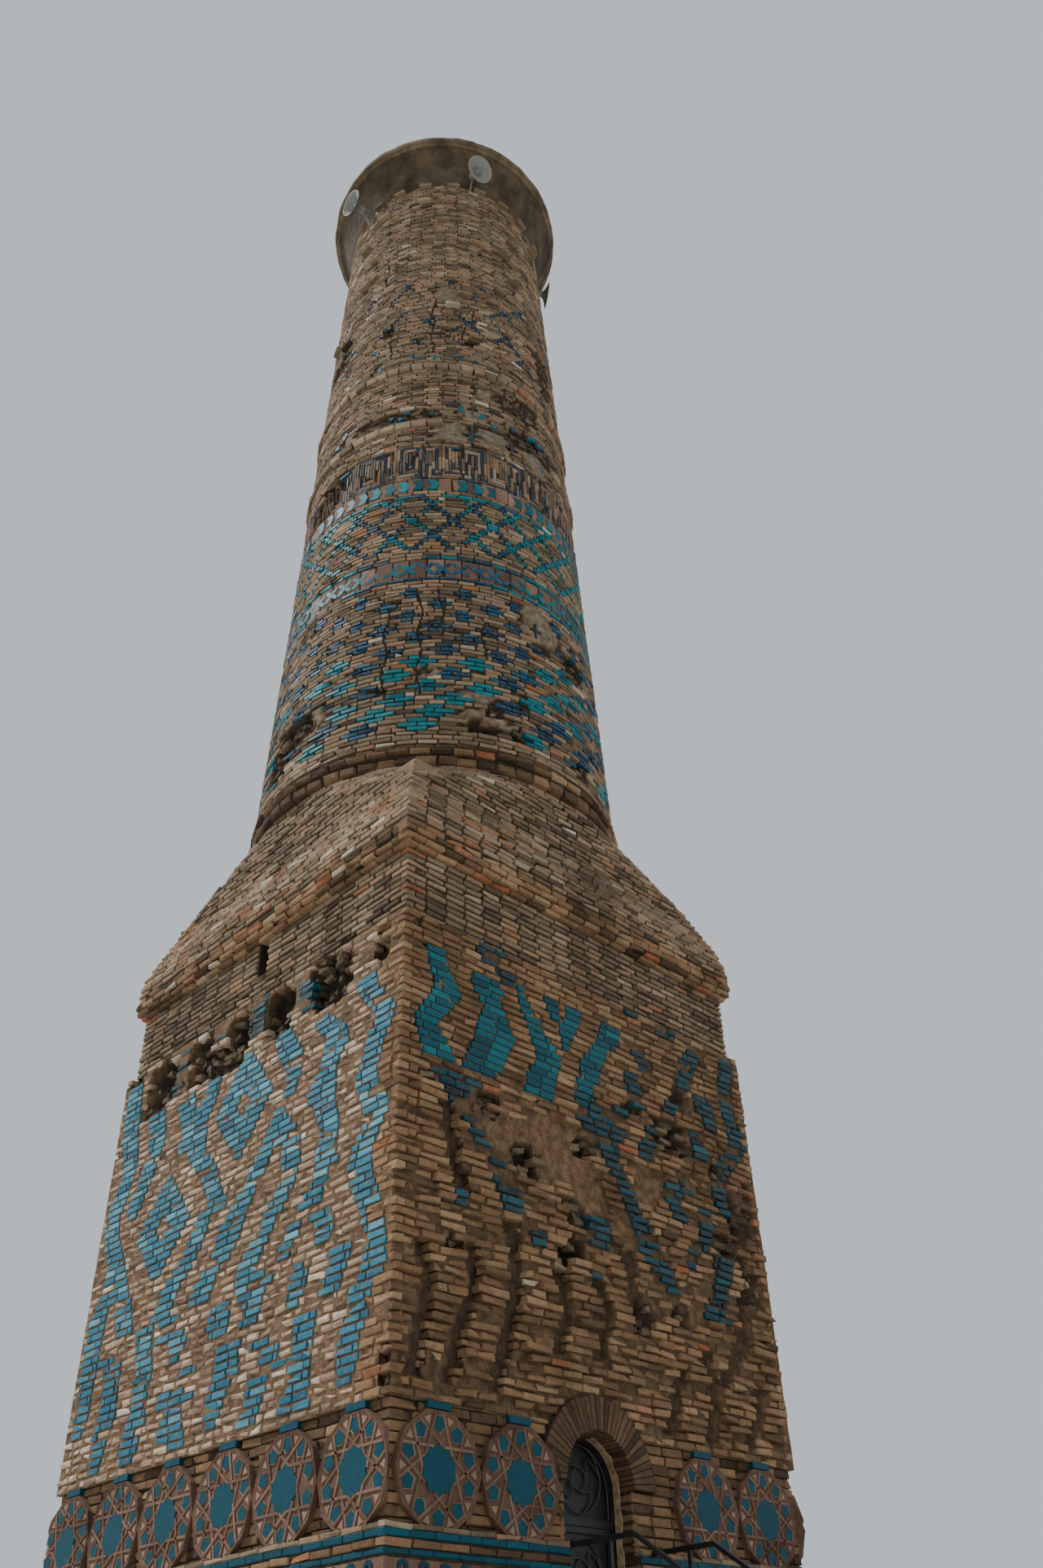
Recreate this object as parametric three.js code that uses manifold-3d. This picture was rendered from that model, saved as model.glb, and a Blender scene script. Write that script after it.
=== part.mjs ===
// Brick minaret with a square, patterned base and a round, tapering shaft.
// Millimetres, +Z up. The origin is on the tower's axis at ground level.
// The door is in the -Y face (the front). -X is the left face, +X the right face, +Y the back.

import * as THREE from 'three';
import { mergeVertices } from 'three/addons/utils/BufferGeometryUtils.js';
import Module from 'manifold-3d';

const wasm = await Module();
wasm.setup();

// Driving dimensions: heights above the ground
const PLINTH_TOP = 1100;
const FLOOR_Z = 2000;          // the landing and the floor inside the door
const BAND_TOP = 3078;         // top of the glazed bands, foot of the medallions
const MEDALLION_TOP = 3940;    // underside of the body's first, overhanging course
const BODY_TOP = 8200;
const NECK_TOP = 9030;
const ROLL_TOP = 9250;         // top of the square roll moulding
const SLOPE_START = 9500;      // above this the square starts to lean in
const RIDGE_END = 10000;       // above this the square's corners start to round off
const DRUM_TOP = 10870;        // here the section is a full circle
const RING_SPLIT = 11000;
const RINGS_TOP = 11200;
const SHAFT_SPLIT = 17670;     // foot of the lower ledge
const LEDGE_HIGH = 19050;
const SHAFT_TOP = 25300;
const CAP_FLARE_TOP = 26180;
const CAP_TOP = 26400;

// Driving dimensions: half widths of the square part, radii of the round part
const PLINTH_HALF = 2600;
const BAND_HALF = 2500;
const MEDALLION_WALL_HALF = 2430;
const BODY_HALF = 2495;
const NECK_HALF = 2405;
const ROLL_HALF = 2500;
const SLOPE_HALF = 2470;
const RIDGE_HALF = 2262;
const DRUM_R = 2234;
const RING_LOW_R = 2297;
const RING_HIGH_R = 2320;
const SHAFT_R_LOW = 2328;
const SHAFT_R_TOP = 1797;
const LEDGE_PROUD = 45;
const LEDGE_LOW_HEIGHT = 72;
const LEDGE_HIGH_HEIGHT = 130;
const CAP_R_FOOT = 1780;
const CAP_R_FLARE = 2110;
const CAP_R_RIM = 2220;
const WELL = 1050;             // half width of the square stair well, radius of the round one

// Door opening in the front wall
const DOOR_LEFT = -655;
const DOOR_RIGHT = 160;
const ARCH_SPRING = 3555;
const ARCH_RING = 270;         // depth of the ring of bricks on end
const TRANSOM_Z = 3330;
const DOOR_RECESS = 250;

// Medallions: regular decagons that touch at their side corners
const MEDALLION_WIDTH = 846;
const MEDALLION_Z = 3483;
const MEDALLION_RIM = 34;
const MEDALLION_SINK = 14;
const MEDALLION_BACK = 20;     // strip of masonry that carries a row
const LEFT_ROW = [-2094, -1248, -402, 444, 1290, 2136];
const FRONT_LEFT_ROW = [-2002, -1156];
const FRONT_RIGHT_ROW = [1104, 1950];

// Slit window in the left face of the neck
const SLIT_HALF = 85;
const SLIT_SILL = 8560;

// Entrance stair
const LANDING_DEPTH = 650;
const RISERS = 11;
const TREAD = 280;
const STAIR_LEFT = -760;
const STAIR_RIGHT = 430;
const RAIL_LEFT = -634;
const RAIL_RIGHT = 303;
const RAIL_TOP = 3120;
const RAIL_BAR = 36;
const POST_BAR = 30;

// Ironwork of the door
const POST_WIDTH = 50;
const FRAME_DEPTH = 43;
const LEAF_GAP = 5;
const LEAF_THICK = 38;
const LEAF_BAR = 45;
const SHEET = 8;
const KNUCKLE_R = 9;
const KNUCKLE_LENGTH = 60;

// Horn loudspeakers under the cap
const HORN_R = 260;
const HORN_LENGTH = 330;
const HORN_OUT = 2240;         // from the tower's axis to the middle of the mouth
const DRIVER_R = 62;
const HORN_OUT_SHORT = 2060;   // the right-hand horn is a short one, close to the wall
const HORN_LENGTH_SHORT = 200;
const BRACKET_Z = 25080;
const BRACKET_FOOT = 150;
const BRACKET_BAR = 28;

const GAP = 0.3;               // between pieces cut by their neighbour
const QUADRANT_STEPS = 12;

const BRICK = { color: 0xa8805c, roughness: 0.9, metalness: 0 };
const DARK_BRICK = { color: 0x8f6648, roughness: 0.92, metalness: 0 };
const STONE = { color: 0xb3a992, roughness: 0.85, metalness: 0 };
const GLAZE = { color: 0x1f7f92, roughness: 0.35, metalness: 0 };
const CONCRETE = { color: 0x8a7a62, roughness: 0.95, metalness: 0 };
const IRON = { color: 0x24211f, roughness: 0.6, metalness: 0.6 };
const HORN_GREY = { color: 0xa9adae, roughness: 0.5, metalness: 0.1 };

const minaret = new THREE.Group();

function add(name, geometry, look) {
  const mesh = new THREE.Mesh(geometry, new THREE.MeshStandardMaterial(look));
  mesh.name = name;
  minaret.add(mesh);
  return mesh;
}

// A closed geometry as a solid for cutting and joining.
function solid(geometry) {
  const bare = geometry.clone();
  bare.deleteAttribute('normal');
  bare.deleteAttribute('uv');
  const merged = mergeVertices(bare, 1e-3);
  const triangles = merged.index.array;
  return new wasm.Manifold(new wasm.Mesh({
    numProp: 3,
    vertProperties: new Float32Array(merged.attributes.position.array),
    triVerts: new Uint32Array(triangles),
  }));
}

function geometryOf(body) {
  const mesh = body.getMesh();
  const geometry = new THREE.BufferGeometry();
  geometry.setAttribute('position', new THREE.BufferAttribute(new Float32Array(mesh.vertProperties), 3));
  geometry.setIndex(new THREE.BufferAttribute(new Uint32Array(mesh.triVerts), 1));
  geometry.computeVertexNormals();
  return geometry;
}

// A box between two corners.
function box(x0, x1, y0, y1, z0, z1) {
  const geometry = new THREE.BoxGeometry(x1 - x0, y1 - y0, z1 - z0);
  geometry.translate((x0 + x1) / 2, (y0 + y1) / 2, (z0 + z1) / 2);
  return geometry;
}

// A prism: an outline drawn across (x) and up (z), run along Y from y0 to y1.
function prism(outline, y0, y1) {
  const options = { depth: y1 - y0, bevelEnabled: false, curveSegments: 16 };
  const geometry = new THREE.ExtrudeGeometry(outline, options);
  geometry.rotateX(Math.PI / 2);
  geometry.translate(0, y1, 0);
  return geometry;
}

function outlineOf(points) {
  return new THREE.Shape(points.map(([x, z]) => new THREE.Vector2(x, z)));
}

// Distance from the axis to a square with rounded corners, in the direction of an angle.
function roundedSquare(angle, half, corner) {
  const across = Math.abs(Math.cos(angle));
  const along = Math.abs(Math.sin(angle));
  const wide = Math.max(across, along);
  const narrow = Math.min(across, along);
  const flat = half / wide;
  if (flat * narrow <= half - corner) {
    return flat;
  }
  const centre = half - corner;
  const middle = centre * (wide + narrow);
  return middle + Math.sqrt(middle * middle - 2 * centre * centre + corner * corner);
}

// One quarter of a hollow tower between stacked levels. A level is { z, outer(angle), inner(angle) }.
function quadrant(levels, turn) {
  const positions = [];
  const index = [];
  const columns = QUADRANT_STEPS + 1;
  const shift = GAP / Math.SQRT2;
  const moveX = Math.cos(turn) * shift;
  const moveY = Math.sin(turn) * shift;
  for (const level of levels) {
    for (const radius of [level.outer, level.inner]) {
      for (let i = 0; i < columns; i += 1) {
        const angle = turn - Math.PI / 4 + (Math.PI / 2) * (i / QUADRANT_STEPS);
        const r = radius(angle);
        positions.push(r * Math.cos(angle) + moveX, r * Math.sin(angle) + moveY, level.z);
      }
    }
  }
  const at = (level, side, i) => (level * 2 + side) * columns + i;
  const quad = (a, b, c, d) => index.push(a, b, c, a, c, d);
  const last = levels.length - 1;
  for (let k = 0; k < last; k += 1) {
    for (let i = 0; i < QUADRANT_STEPS; i += 1) {
      quad(at(k, 0, i), at(k, 0, i + 1), at(k + 1, 0, i + 1), at(k + 1, 0, i));
      quad(at(k, 1, i + 1), at(k, 1, i), at(k + 1, 1, i), at(k + 1, 1, i + 1));
    }
    quad(at(k, 1, 0), at(k, 0, 0), at(k + 1, 0, 0), at(k + 1, 1, 0));
    const end = QUADRANT_STEPS;
    quad(at(k, 0, end), at(k, 1, end), at(k + 1, 1, end), at(k + 1, 0, end));
  }
  for (let i = 0; i < QUADRANT_STEPS; i += 1) {
    quad(at(0, 0, i + 1), at(0, 0, i), at(0, 1, i), at(0, 1, i + 1));
    quad(at(last, 0, i), at(last, 0, i + 1), at(last, 1, i + 1), at(last, 1, i));
  }
  const geometry = new THREE.BufferGeometry();
  geometry.setAttribute('position', new THREE.Float32BufferAttribute(positions, 3));
  geometry.setIndex(index);
  geometry.computeVertexNormals();
  return geometry;
}

const wellRadius = () => WELL;
const circle = (radius) => () => radius;
const SIDES = [
  ['front', -Math.PI / 2],
  ['right', 0],
  ['back', Math.PI / 2],
  ['left', Math.PI],
];

// Solid foot of the tower
add('stone_plinth', box(-PLINTH_HALF, PLINTH_HALF, -PLINTH_HALF, PLINTH_HALF, 0, PLINTH_TOP), STONE);
add('brick_base', box(-BAND_HALF, BAND_HALF, -BAND_HALF, BAND_HALF, PLINTH_TOP, FLOOR_Z), BRICK);

// Lower walls: the glazed bands stand proud of the wall behind the medallions
const archRight = DOOR_RIGHT + ARCH_RING;
const archLeft = DOOR_LEFT - ARCH_RING;
const archCentre = (DOOR_LEFT + DOOR_RIGHT) / 2;
const archInner = (DOOR_RIGHT - DOOR_LEFT) / 2;
const archOuter = archInner + ARCH_RING;

function lowerWall(x0, x1, y0, y1) {
  const low = solid(box(x0, x1, y0, y1, FLOOR_Z, BAND_TOP));
  const inset = (value, half) => Math.sign(value) * Math.min(Math.abs(value), half);
  const high = solid(box(
    inset(x0, MEDALLION_WALL_HALF), inset(x1, MEDALLION_WALL_HALF),
    inset(y0, MEDALLION_WALL_HALF), inset(y1, MEDALLION_WALL_HALF),
    BAND_TOP - 1, MEDALLION_TOP,
  ));
  return low.add(high);
}

// The walls beside the door, each with the quarter of the arch that bears on it cut away
const archShape = new THREE.Shape();
archShape.moveTo(archRight, ARCH_SPRING);
archShape.absarc(archCentre, ARCH_SPRING, archOuter, 0, Math.PI, false);
archShape.lineTo(DOOR_LEFT, ARCH_SPRING);
archShape.absarc(archCentre, ARCH_SPRING, archInner, Math.PI, 0, true);
archShape.closePath();
const archHoleShape = new THREE.Shape();
archHoleShape.moveTo(archRight + GAP, ARCH_SPRING - GAP);
archHoleShape.lineTo(archRight + GAP, ARCH_SPRING);
archHoleShape.absarc(archCentre, ARCH_SPRING, archOuter + GAP, 0, Math.PI, false);
archHoleShape.lineTo(archLeft - GAP, ARCH_SPRING - GAP);
archHoleShape.closePath();
const archHole = solid(prism(archHoleShape, -BAND_HALF - 10, -WELL + 10));

const wallLeft = lowerWall(-BAND_HALF, DOOR_LEFT, -BAND_HALF, -WELL).subtract(archHole);
const wallRight = lowerWall(DOOR_RIGHT, BAND_HALF, -BAND_HALF, -WELL).subtract(archHole);
add('front_wall_left', geometryOf(wallLeft), BRICK);
add('front_wall_right', geometryOf(wallRight), BRICK);
add('back_wall', geometryOf(lowerWall(-BAND_HALF, BAND_HALF, WELL, BAND_HALF)), BRICK);
add('left_wall', geometryOf(lowerWall(-BAND_HALF, -WELL, -WELL, WELL)), BRICK);
add('right_wall', geometryOf(lowerWall(WELL, BAND_HALF, -WELL, WELL)), BRICK);

// Rows of medallions on a thin backing strip, drawn for the front face and turned to the others
function decagon(radius) {
  const points = [];
  for (let i = 0; i < 10; i += 1) {
    const angle = (i * Math.PI) / 5;
    points.push([radius * Math.cos(angle), radius * Math.sin(angle)]);
  }
  return points;
}

// The end medallions meet those of the next face in a mitre
const far = 2 * BAND_HALF;
const mitreShape = outlineOf([[0, -GAP], [-far, -far - GAP], [far, -far - GAP]]);
const mitre = solid(new THREE.ExtrudeGeometry(mitreShape, { depth: BODY_TOP, bevelEnabled: false }));

function medallion(x, radius, y0, y1) {
  const points = decagon(radius).map(([px, pz]) => [px + x, pz + MEDALLION_Z]);
  return solid(prism(outlineOf(points), y0, y1));
}

function medallionRow(centres, x0, x1, turn) {
  const back = -MEDALLION_WALL_HALF - GAP;
  const radius = MEDALLION_WIDTH / 2;
  let row = solid(box(x0, x1, back - MEDALLION_BACK, back, BAND_TOP + GAP, MEDALLION_TOP - GAP));
  for (const x of centres) {
    const disc = medallion(x, radius - 2, -BAND_HALF, back - MEDALLION_BACK / 2);
    const field = medallion(x, radius - MEDALLION_RIM, -BAND_HALF - 1, -BAND_HALF + MEDALLION_SINK);
    row = row.add(disc.subtract(field));
  }
  const geometry = geometryOf(row.intersect(mitre));
  geometry.rotateZ(turn);
  return geometry;
}

// The ring of bricks over the door is cut back where the nearest medallion covers it
const nearest = medallion(FRONT_LEFT_ROW[1], MEDALLION_WIDTH / 2, -BAND_HALF, -MEDALLION_WALL_HALF);
const arch = solid(prism(archShape, -BODY_HALF, -WELL));
add('door_arch', geometryOf(arch.subtract(nearest)), DARK_BRICK);

const rowEnd = MEDALLION_WALL_HALF;
add('medallions_front_left', medallionRow(FRONT_LEFT_ROW, -rowEnd, archLeft - 5, 0), GLAZE);
add('medallions_front_right', medallionRow(FRONT_RIGHT_ROW, archRight + 5, rowEnd, 0), GLAZE);
const leftCentres = LEFT_ROW.map((y) => -y);
add('medallions_left', medallionRow(leftCentres, -rowEnd, rowEnd, -Math.PI / 2), GLAZE);
add('medallions_right', medallionRow(LEFT_ROW, -rowEnd, rowEnd, Math.PI / 2), GLAZE);
add('medallions_back', medallionRow(LEFT_ROW, -rowEnd, rowEnd, Math.PI), GLAZE);

// Square body with the diamond patterns
const bodyFront = solid(box(-BODY_HALF, BODY_HALF, -BODY_HALF, -WELL, MEDALLION_TOP, BODY_TOP));
add('body_front', geometryOf(bodyFront.subtract(archHole)), BRICK);
add('body_back', box(-BODY_HALF, BODY_HALF, WELL, BODY_HALF, MEDALLION_TOP, BODY_TOP), BRICK);
add('body_left', box(-BODY_HALF, -WELL, -WELL, WELL, MEDALLION_TOP, BODY_TOP), BRICK);
add('body_right', box(WELL, BODY_HALF, -WELL, WELL, MEDALLION_TOP, BODY_TOP), BRICK);

// Plain neck, with the slit window in its left wall
const neckLeft = solid(box(-NECK_HALF, -WELL, -WELL, WELL, BODY_TOP, NECK_TOP));
const slit = solid(box(-NECK_HALF - 10, -WELL + 10, -SLIT_HALF, SLIT_HALF, SLIT_SILL, NECK_TOP + 10));
add('neck_front', box(-NECK_HALF, NECK_HALF, -NECK_HALF, -WELL, BODY_TOP, NECK_TOP), BRICK);
add('neck_back', box(-NECK_HALF, NECK_HALF, WELL, NECK_HALF, BODY_TOP, NECK_TOP), BRICK);
add('neck_left', geometryOf(neckLeft.subtract(slit)), BRICK);
add('neck_right', box(WELL, NECK_HALF, -WELL, WELL, BODY_TOP, NECK_TOP), BRICK);

// Roll moulding and the slope that turns the square into the round drum
const squareLevel = (z, half) => ({ z, outer: (angle) => roundedSquare(angle, half, 0), inner: wellRadius });
const roundingLevel = (z) => {
  const part = (z - RIDGE_END) / (DRUM_TOP - RIDGE_END);
  const half = RIDGE_HALF + (DRUM_R - RIDGE_HALF) * part;
  return { z, outer: (angle) => roundedSquare(angle, half, DRUM_R * part), inner: wellRadius };
};
const roundingStep = (DRUM_TOP - RIDGE_END) / 3;
const slopeLevels = [
  squareLevel(NECK_TOP, ROLL_HALF),
  squareLevel(ROLL_TOP, ROLL_HALF),
  squareLevel(SLOPE_START, SLOPE_HALF),
  roundingLevel(RIDGE_END),
  roundingLevel(RIDGE_END + roundingStep),
  roundingLevel(RIDGE_END + 2 * roundingStep),
  roundingLevel(DRUM_TOP),
];
for (const [side, turn] of SIDES) {
  add(`slope_${side}`, quadrant(slopeLevels, turn), BRICK);
}

// Two projecting rings of brick where the shaft begins
const ringLevels = [
  { z: DRUM_TOP, outer: circle(RING_LOW_R), inner: wellRadius },
  { z: RING_SPLIT, outer: circle(RING_LOW_R), inner: wellRadius },
  { z: RING_SPLIT + 10, outer: circle(RING_HIGH_R), inner: wellRadius },
  { z: RINGS_TOP, outer: circle(RING_HIGH_R), inner: wellRadius },
];
for (const [side, turn] of SIDES) {
  add(`rings_${side}`, quadrant(ringLevels, turn), DARK_BRICK);
}

// Tapering shaft in two lifts
const shaftTaper = (SHAFT_R_TOP - SHAFT_R_LOW) / (SHAFT_TOP - RINGS_TOP);
const shaftRadius = (z) => SHAFT_R_LOW + shaftTaper * (z - RINGS_TOP);
const shaftLevel = (z, proud = 0) => ({ z, outer: circle(shaftRadius(z) + proud), inner: wellRadius });
const upperLevels = [
  shaftLevel(SHAFT_SPLIT, LEDGE_PROUD),
  shaftLevel(SHAFT_SPLIT + LEDGE_LOW_HEIGHT, LEDGE_PROUD),
  shaftLevel(SHAFT_SPLIT + LEDGE_LOW_HEIGHT + 1),
  shaftLevel(LEDGE_HIGH),
  shaftLevel(LEDGE_HIGH + 1, LEDGE_PROUD),
  shaftLevel(LEDGE_HIGH + LEDGE_HIGH_HEIGHT, LEDGE_PROUD),
  shaftLevel(LEDGE_HIGH + LEDGE_HIGH_HEIGHT + 1),
  shaftLevel(SHAFT_TOP),
];
for (const [side, turn] of SIDES) {
  add(`shaft_lower_${side}`, quadrant([shaftLevel(RINGS_TOP), shaftLevel(SHAFT_SPLIT)], turn), BRICK);
}
for (const [side, turn] of SIDES) {
  add(`shaft_upper_${side}`, quadrant(upperLevels, turn), BRICK);
}

// Concrete cap: a dish that flares out over the shaft
const capProfile = [
  [0, SHAFT_TOP],
  [CAP_R_FOOT, SHAFT_TOP],
  [CAP_R_FOOT + 90, SHAFT_TOP + 300],
  [CAP_R_FLARE, CAP_FLARE_TOP],
  [CAP_R_RIM, CAP_FLARE_TOP + 60],
  [CAP_R_RIM, CAP_TOP],
  [0, CAP_TOP],
].map(([r, z]) => new THREE.Vector2(r, z));
const cap = new THREE.LatheGeometry(capProfile, 4 * QUADRANT_STEPS);
cap.rotateX(Math.PI / 2);
add('cap', geometryOf(solid(cap)), CONCRETE);

// Horn loudspeakers on brackets fixed to the top of the shaft, each over a flat of its wall. The tilt turns
// a bell down and the swing turns it sideways, both about the middle of its driver.
const facet = 90 / QUADRANT_STEPS;
function horn(name, degrees, tilt, swing, z, out, length) {
  const driverLength = length * 0.36;
  const profile = [
    [0, 0], [DRIVER_R, 0], [DRIVER_R, driverLength], [DRIVER_R * 0.8, driverLength + 30],
    [DRIVER_R * 1.5, length - 60], [HORN_R, length], [HORN_R - 6, length],
    [DRIVER_R, length - 50], [0, length - 50],
  ].map(([r, along]) => new THREE.Vector2(r, along));
  const reach = length - driverLength / 2;
  const driverX = out - reach * Math.cos(THREE.MathUtils.degToRad(tilt));
  const driverZ = z + reach * Math.sin(THREE.MathUtils.degToRad(tilt));
  const lathed = new THREE.LatheGeometry(profile, 24);
  lathed.rotateZ(-Math.PI / 2);
  const bell = solid(lathed).translate([-driverLength / 2, 0, 0]).rotate([0, tilt, swing])
    .translate([driverX, 0, driverZ]);
  const foot = Math.min(BRACKET_Z, driverZ - 2 * BRACKET_FOOT);
  const wallX = shaftRadius(foot) * Math.cos(THREE.MathUtils.degToRad(facet / 2)) + 2 * GAP;
  const bracketOutline = outlineOf([
    [wallX, foot], [wallX + BRACKET_BAR, foot],
    [wallX + BRACKET_BAR, foot + BRACKET_FOOT / 2],
    [driverX + BRACKET_BAR, driverZ], [driverX - BRACKET_BAR, driverZ],
    [wallX, foot + BRACKET_FOOT],
  ]);
  const bracket = prism(bracketOutline, -BRACKET_BAR / 2, BRACKET_BAR / 2);
  const whole = bell.add(solid(bracket));
  add(name, geometryOf(whole), HORN_GREY).rotation.z = THREE.MathUtils.degToRad(degrees);
}
horn('horn_front', -135 + 2.5 * facet, 28, 20, 25300, HORN_OUT, HORN_LENGTH);
horn('horn_left', 180 - 0.5 * facet, 10, 0, 25380, HORN_OUT, HORN_LENGTH);
horn('horn_right', -45 + 1.5 * facet, 4, 0, 25120, HORN_OUT_SHORT, HORN_LENGTH_SHORT);

// Entrance stair: a landing at the door and a straight flight
const riser = FLOOR_Z / RISERS;
const landingEdge = -BAND_HALF - LANDING_DEPTH;
const stairPoints = [];
stairPoints.push([-PLINTH_HALF - GAP, 0], [-PLINTH_HALF - GAP, FLOOR_Z]);
for (let i = 0; i < RISERS; i += 1) {
  const y = landingEdge - i * TREAD;
  stairPoints.push([y, FLOOR_Z - i * riser], [y, FLOOR_Z - (i + 1) * riser]);
}
const stairShape = outlineOf(stairPoints);
const stair = new THREE.ExtrudeGeometry(stairShape, { depth: STAIR_RIGHT - STAIR_LEFT, bevelEnabled: false });
stair.applyMatrix4(new THREE.Matrix4().makeBasis(
  new THREE.Vector3(0, 1, 0), new THREE.Vector3(0, 0, 1), new THREE.Vector3(1, 0, 0),
));
stair.translate(STAIR_LEFT, 0, 0);
add('entrance_stair', geometryOf(solid(stair)), STONE);

// Handrails: a level bar over the landing, a sloping bar down the flight and upright posts
const flightEnd = landingEdge - (RISERS - 1) * TREAD;
function handrail(x) {
  const half = RAIL_BAR / 2;
  const drop = RAIL_TOP - FLOOR_Z;
  const slopeEndY = flightEnd + TREAD / 2;
  const slopeFall = ((landingEdge - slopeEndY) / TREAD) * riser;
  const top = [
    [-BAND_HALF - GAP, RAIL_TOP], [landingEdge, RAIL_TOP], [slopeEndY, RAIL_TOP - slopeFall],
  ];
  const lower = top.map(([y, z]) => [y, z - RAIL_BAR]);
  const bar = new THREE.ExtrudeGeometry(
    outlineOf([...top, ...lower.reverse()]), { depth: RAIL_BAR, bevelEnabled: false },
  );
  bar.applyMatrix4(new THREE.Matrix4().makeBasis(
    new THREE.Vector3(0, 1, 0), new THREE.Vector3(0, 0, 1), new THREE.Vector3(1, 0, 0),
  ));
  bar.translate(x - half, 0, 0);
  let rail = solid(bar);
  const postPlaces = [
    landingEdge + 250, landingEdge - 2.5 * TREAD, landingEdge - 5.5 * TREAD, slopeEndY + POST_BAR,
  ];
  for (const y of postPlaces) {
    const step = Math.max(0, Math.ceil((landingEdge - y) / TREAD));
    const foot = FLOOR_Z - step * riser + GAP;
    const fall = Math.max(0, ((landingEdge - y) / TREAD) * riser);
    const head = RAIL_TOP - fall - RAIL_BAR / 2;
    const side = POST_BAR / 2;
    rail = rail.add(solid(box(x - side, x + side, y - side, y + side, foot, head)));
  }
  return geometryOf(rail);
}
add('handrail_left', handrail(RAIL_LEFT), IRON);
add('handrail_right', handrail(RAIL_RIGHT), IRON);

// Iron door: two posts, a fixed fanlight with its transom, and the hinged leaf
const frameFront = -BAND_HALF + DOOR_RECESS;
const frameBack = frameFront + FRAME_DEPTH;
const hingeX = DOOR_RIGHT - GAP - POST_WIDTH - LEAF_GAP / 2;
const hingeY = frameBack + KNUCKLE_R + 3;
const hingeHeights = [FLOOR_Z + 250, TRANSOM_Z - 330];
const leafTop = TRANSOM_Z - 40 - LEAF_GAP;
const leafBottom = FLOOR_Z + LEAF_GAP * 2;
const leafLeft = DOOR_LEFT + GAP + POST_WIDTH + LEAF_GAP;
const leafRight = DOOR_RIGHT - GAP - POST_WIDTH - LEAF_GAP;
const leafFront = frameFront + LEAF_GAP;

function knuckle(z) {
  const barrel = new THREE.CylinderGeometry(KNUCKLE_R, KNUCKLE_R, KNUCKLE_LENGTH, 12);
  barrel.rotateX(Math.PI / 2);
  barrel.translate(hingeX, hingeY, z + KNUCKLE_LENGTH / 2);
  return solid(barrel);
}

add('door_post_left', box(
  DOOR_LEFT + GAP, DOOR_LEFT + GAP + POST_WIDTH, frameFront, frameBack, FLOOR_Z, TRANSOM_Z - 40,
), IRON);
let postRight = solid(box(
  DOOR_RIGHT - GAP - POST_WIDTH, DOOR_RIGHT - GAP, frameFront, frameBack, FLOOR_Z, TRANSOM_Z - 40,
));
let leaf = solid(box(leafLeft, leafRight, leafFront, leafFront + LEAF_THICK, leafBottom, leafTop));
leaf = leaf.subtract(solid(box(
  leafLeft + LEAF_BAR, leafRight - LEAF_BAR, leafFront - 1, leafFront + LEAF_THICK - SHEET,
  leafBottom + LEAF_BAR, leafTop - LEAF_BAR,
)));
for (const z of hingeHeights) {
  const postTab = solid(box(hingeX, hingeX + 20, frameBack - 5, hingeY, z, z + KNUCKLE_LENGTH));
  const leafZ = z + KNUCKLE_LENGTH + GAP;
  const leafBack = leafFront + LEAF_THICK;
  const leafTab = solid(box(hingeX - 30, hingeX, leafBack - 5, hingeY, leafZ, leafZ + KNUCKLE_LENGTH));
  postRight = postRight.add(knuckle(z)).add(postTab);
  leaf = leaf.add(knuckle(leafZ)).add(leafTab);
}
add('door_post_right', geometryOf(postRight), IRON);
add('door_leaf', geometryOf(leaf), IRON);

// Fanlight: the arched top of the frame, with a sheet behind its bars
const fanShape = new THREE.Shape();
fanShape.moveTo(DOOR_LEFT + GAP, TRANSOM_Z - 40);
fanShape.lineTo(DOOR_RIGHT - GAP, TRANSOM_Z - 40);
fanShape.lineTo(DOOR_RIGHT - GAP, ARCH_SPRING);
fanShape.absarc(archCentre, ARCH_SPRING, archInner - GAP, 0, Math.PI, false);
fanShape.closePath();
const fanField = new THREE.Shape();
fanField.moveTo(DOOR_LEFT + POST_WIDTH, TRANSOM_Z + 20);
fanField.lineTo(DOOR_RIGHT - POST_WIDTH, TRANSOM_Z + 20);
fanField.lineTo(DOOR_RIGHT - POST_WIDTH, ARCH_SPRING);
fanField.absarc(archCentre, ARCH_SPRING, archInner - POST_WIDTH, 0, Math.PI, false);
fanField.closePath();
const fan = solid(prism(fanShape, frameFront, frameBack));
const fanSink = solid(prism(fanField, frameFront - 1, frameBack - SHEET));
add('fanlight', geometryOf(fan.subtract(fanSink)), IRON);

export default minaret;
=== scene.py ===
# %% [markdown]
# # A weathered brick minaret
# The tower stands on a square body with glazed zigzag bands and rows of decagonal medallions. A slope
# turns the square into a round, tapering shaft under a concrete cap. Nearly every part of it is brick, so
# most of this lesson is about laying thousands of bricks without drawing each one by hand.
# The CAD model gives the frame: every piece made here sits where its solid sits and rides on its body.

# %% Load the frame
import math

import bmesh
import bpy
import numpy as np
from mathutils import Matrix, Vector, noise


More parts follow.
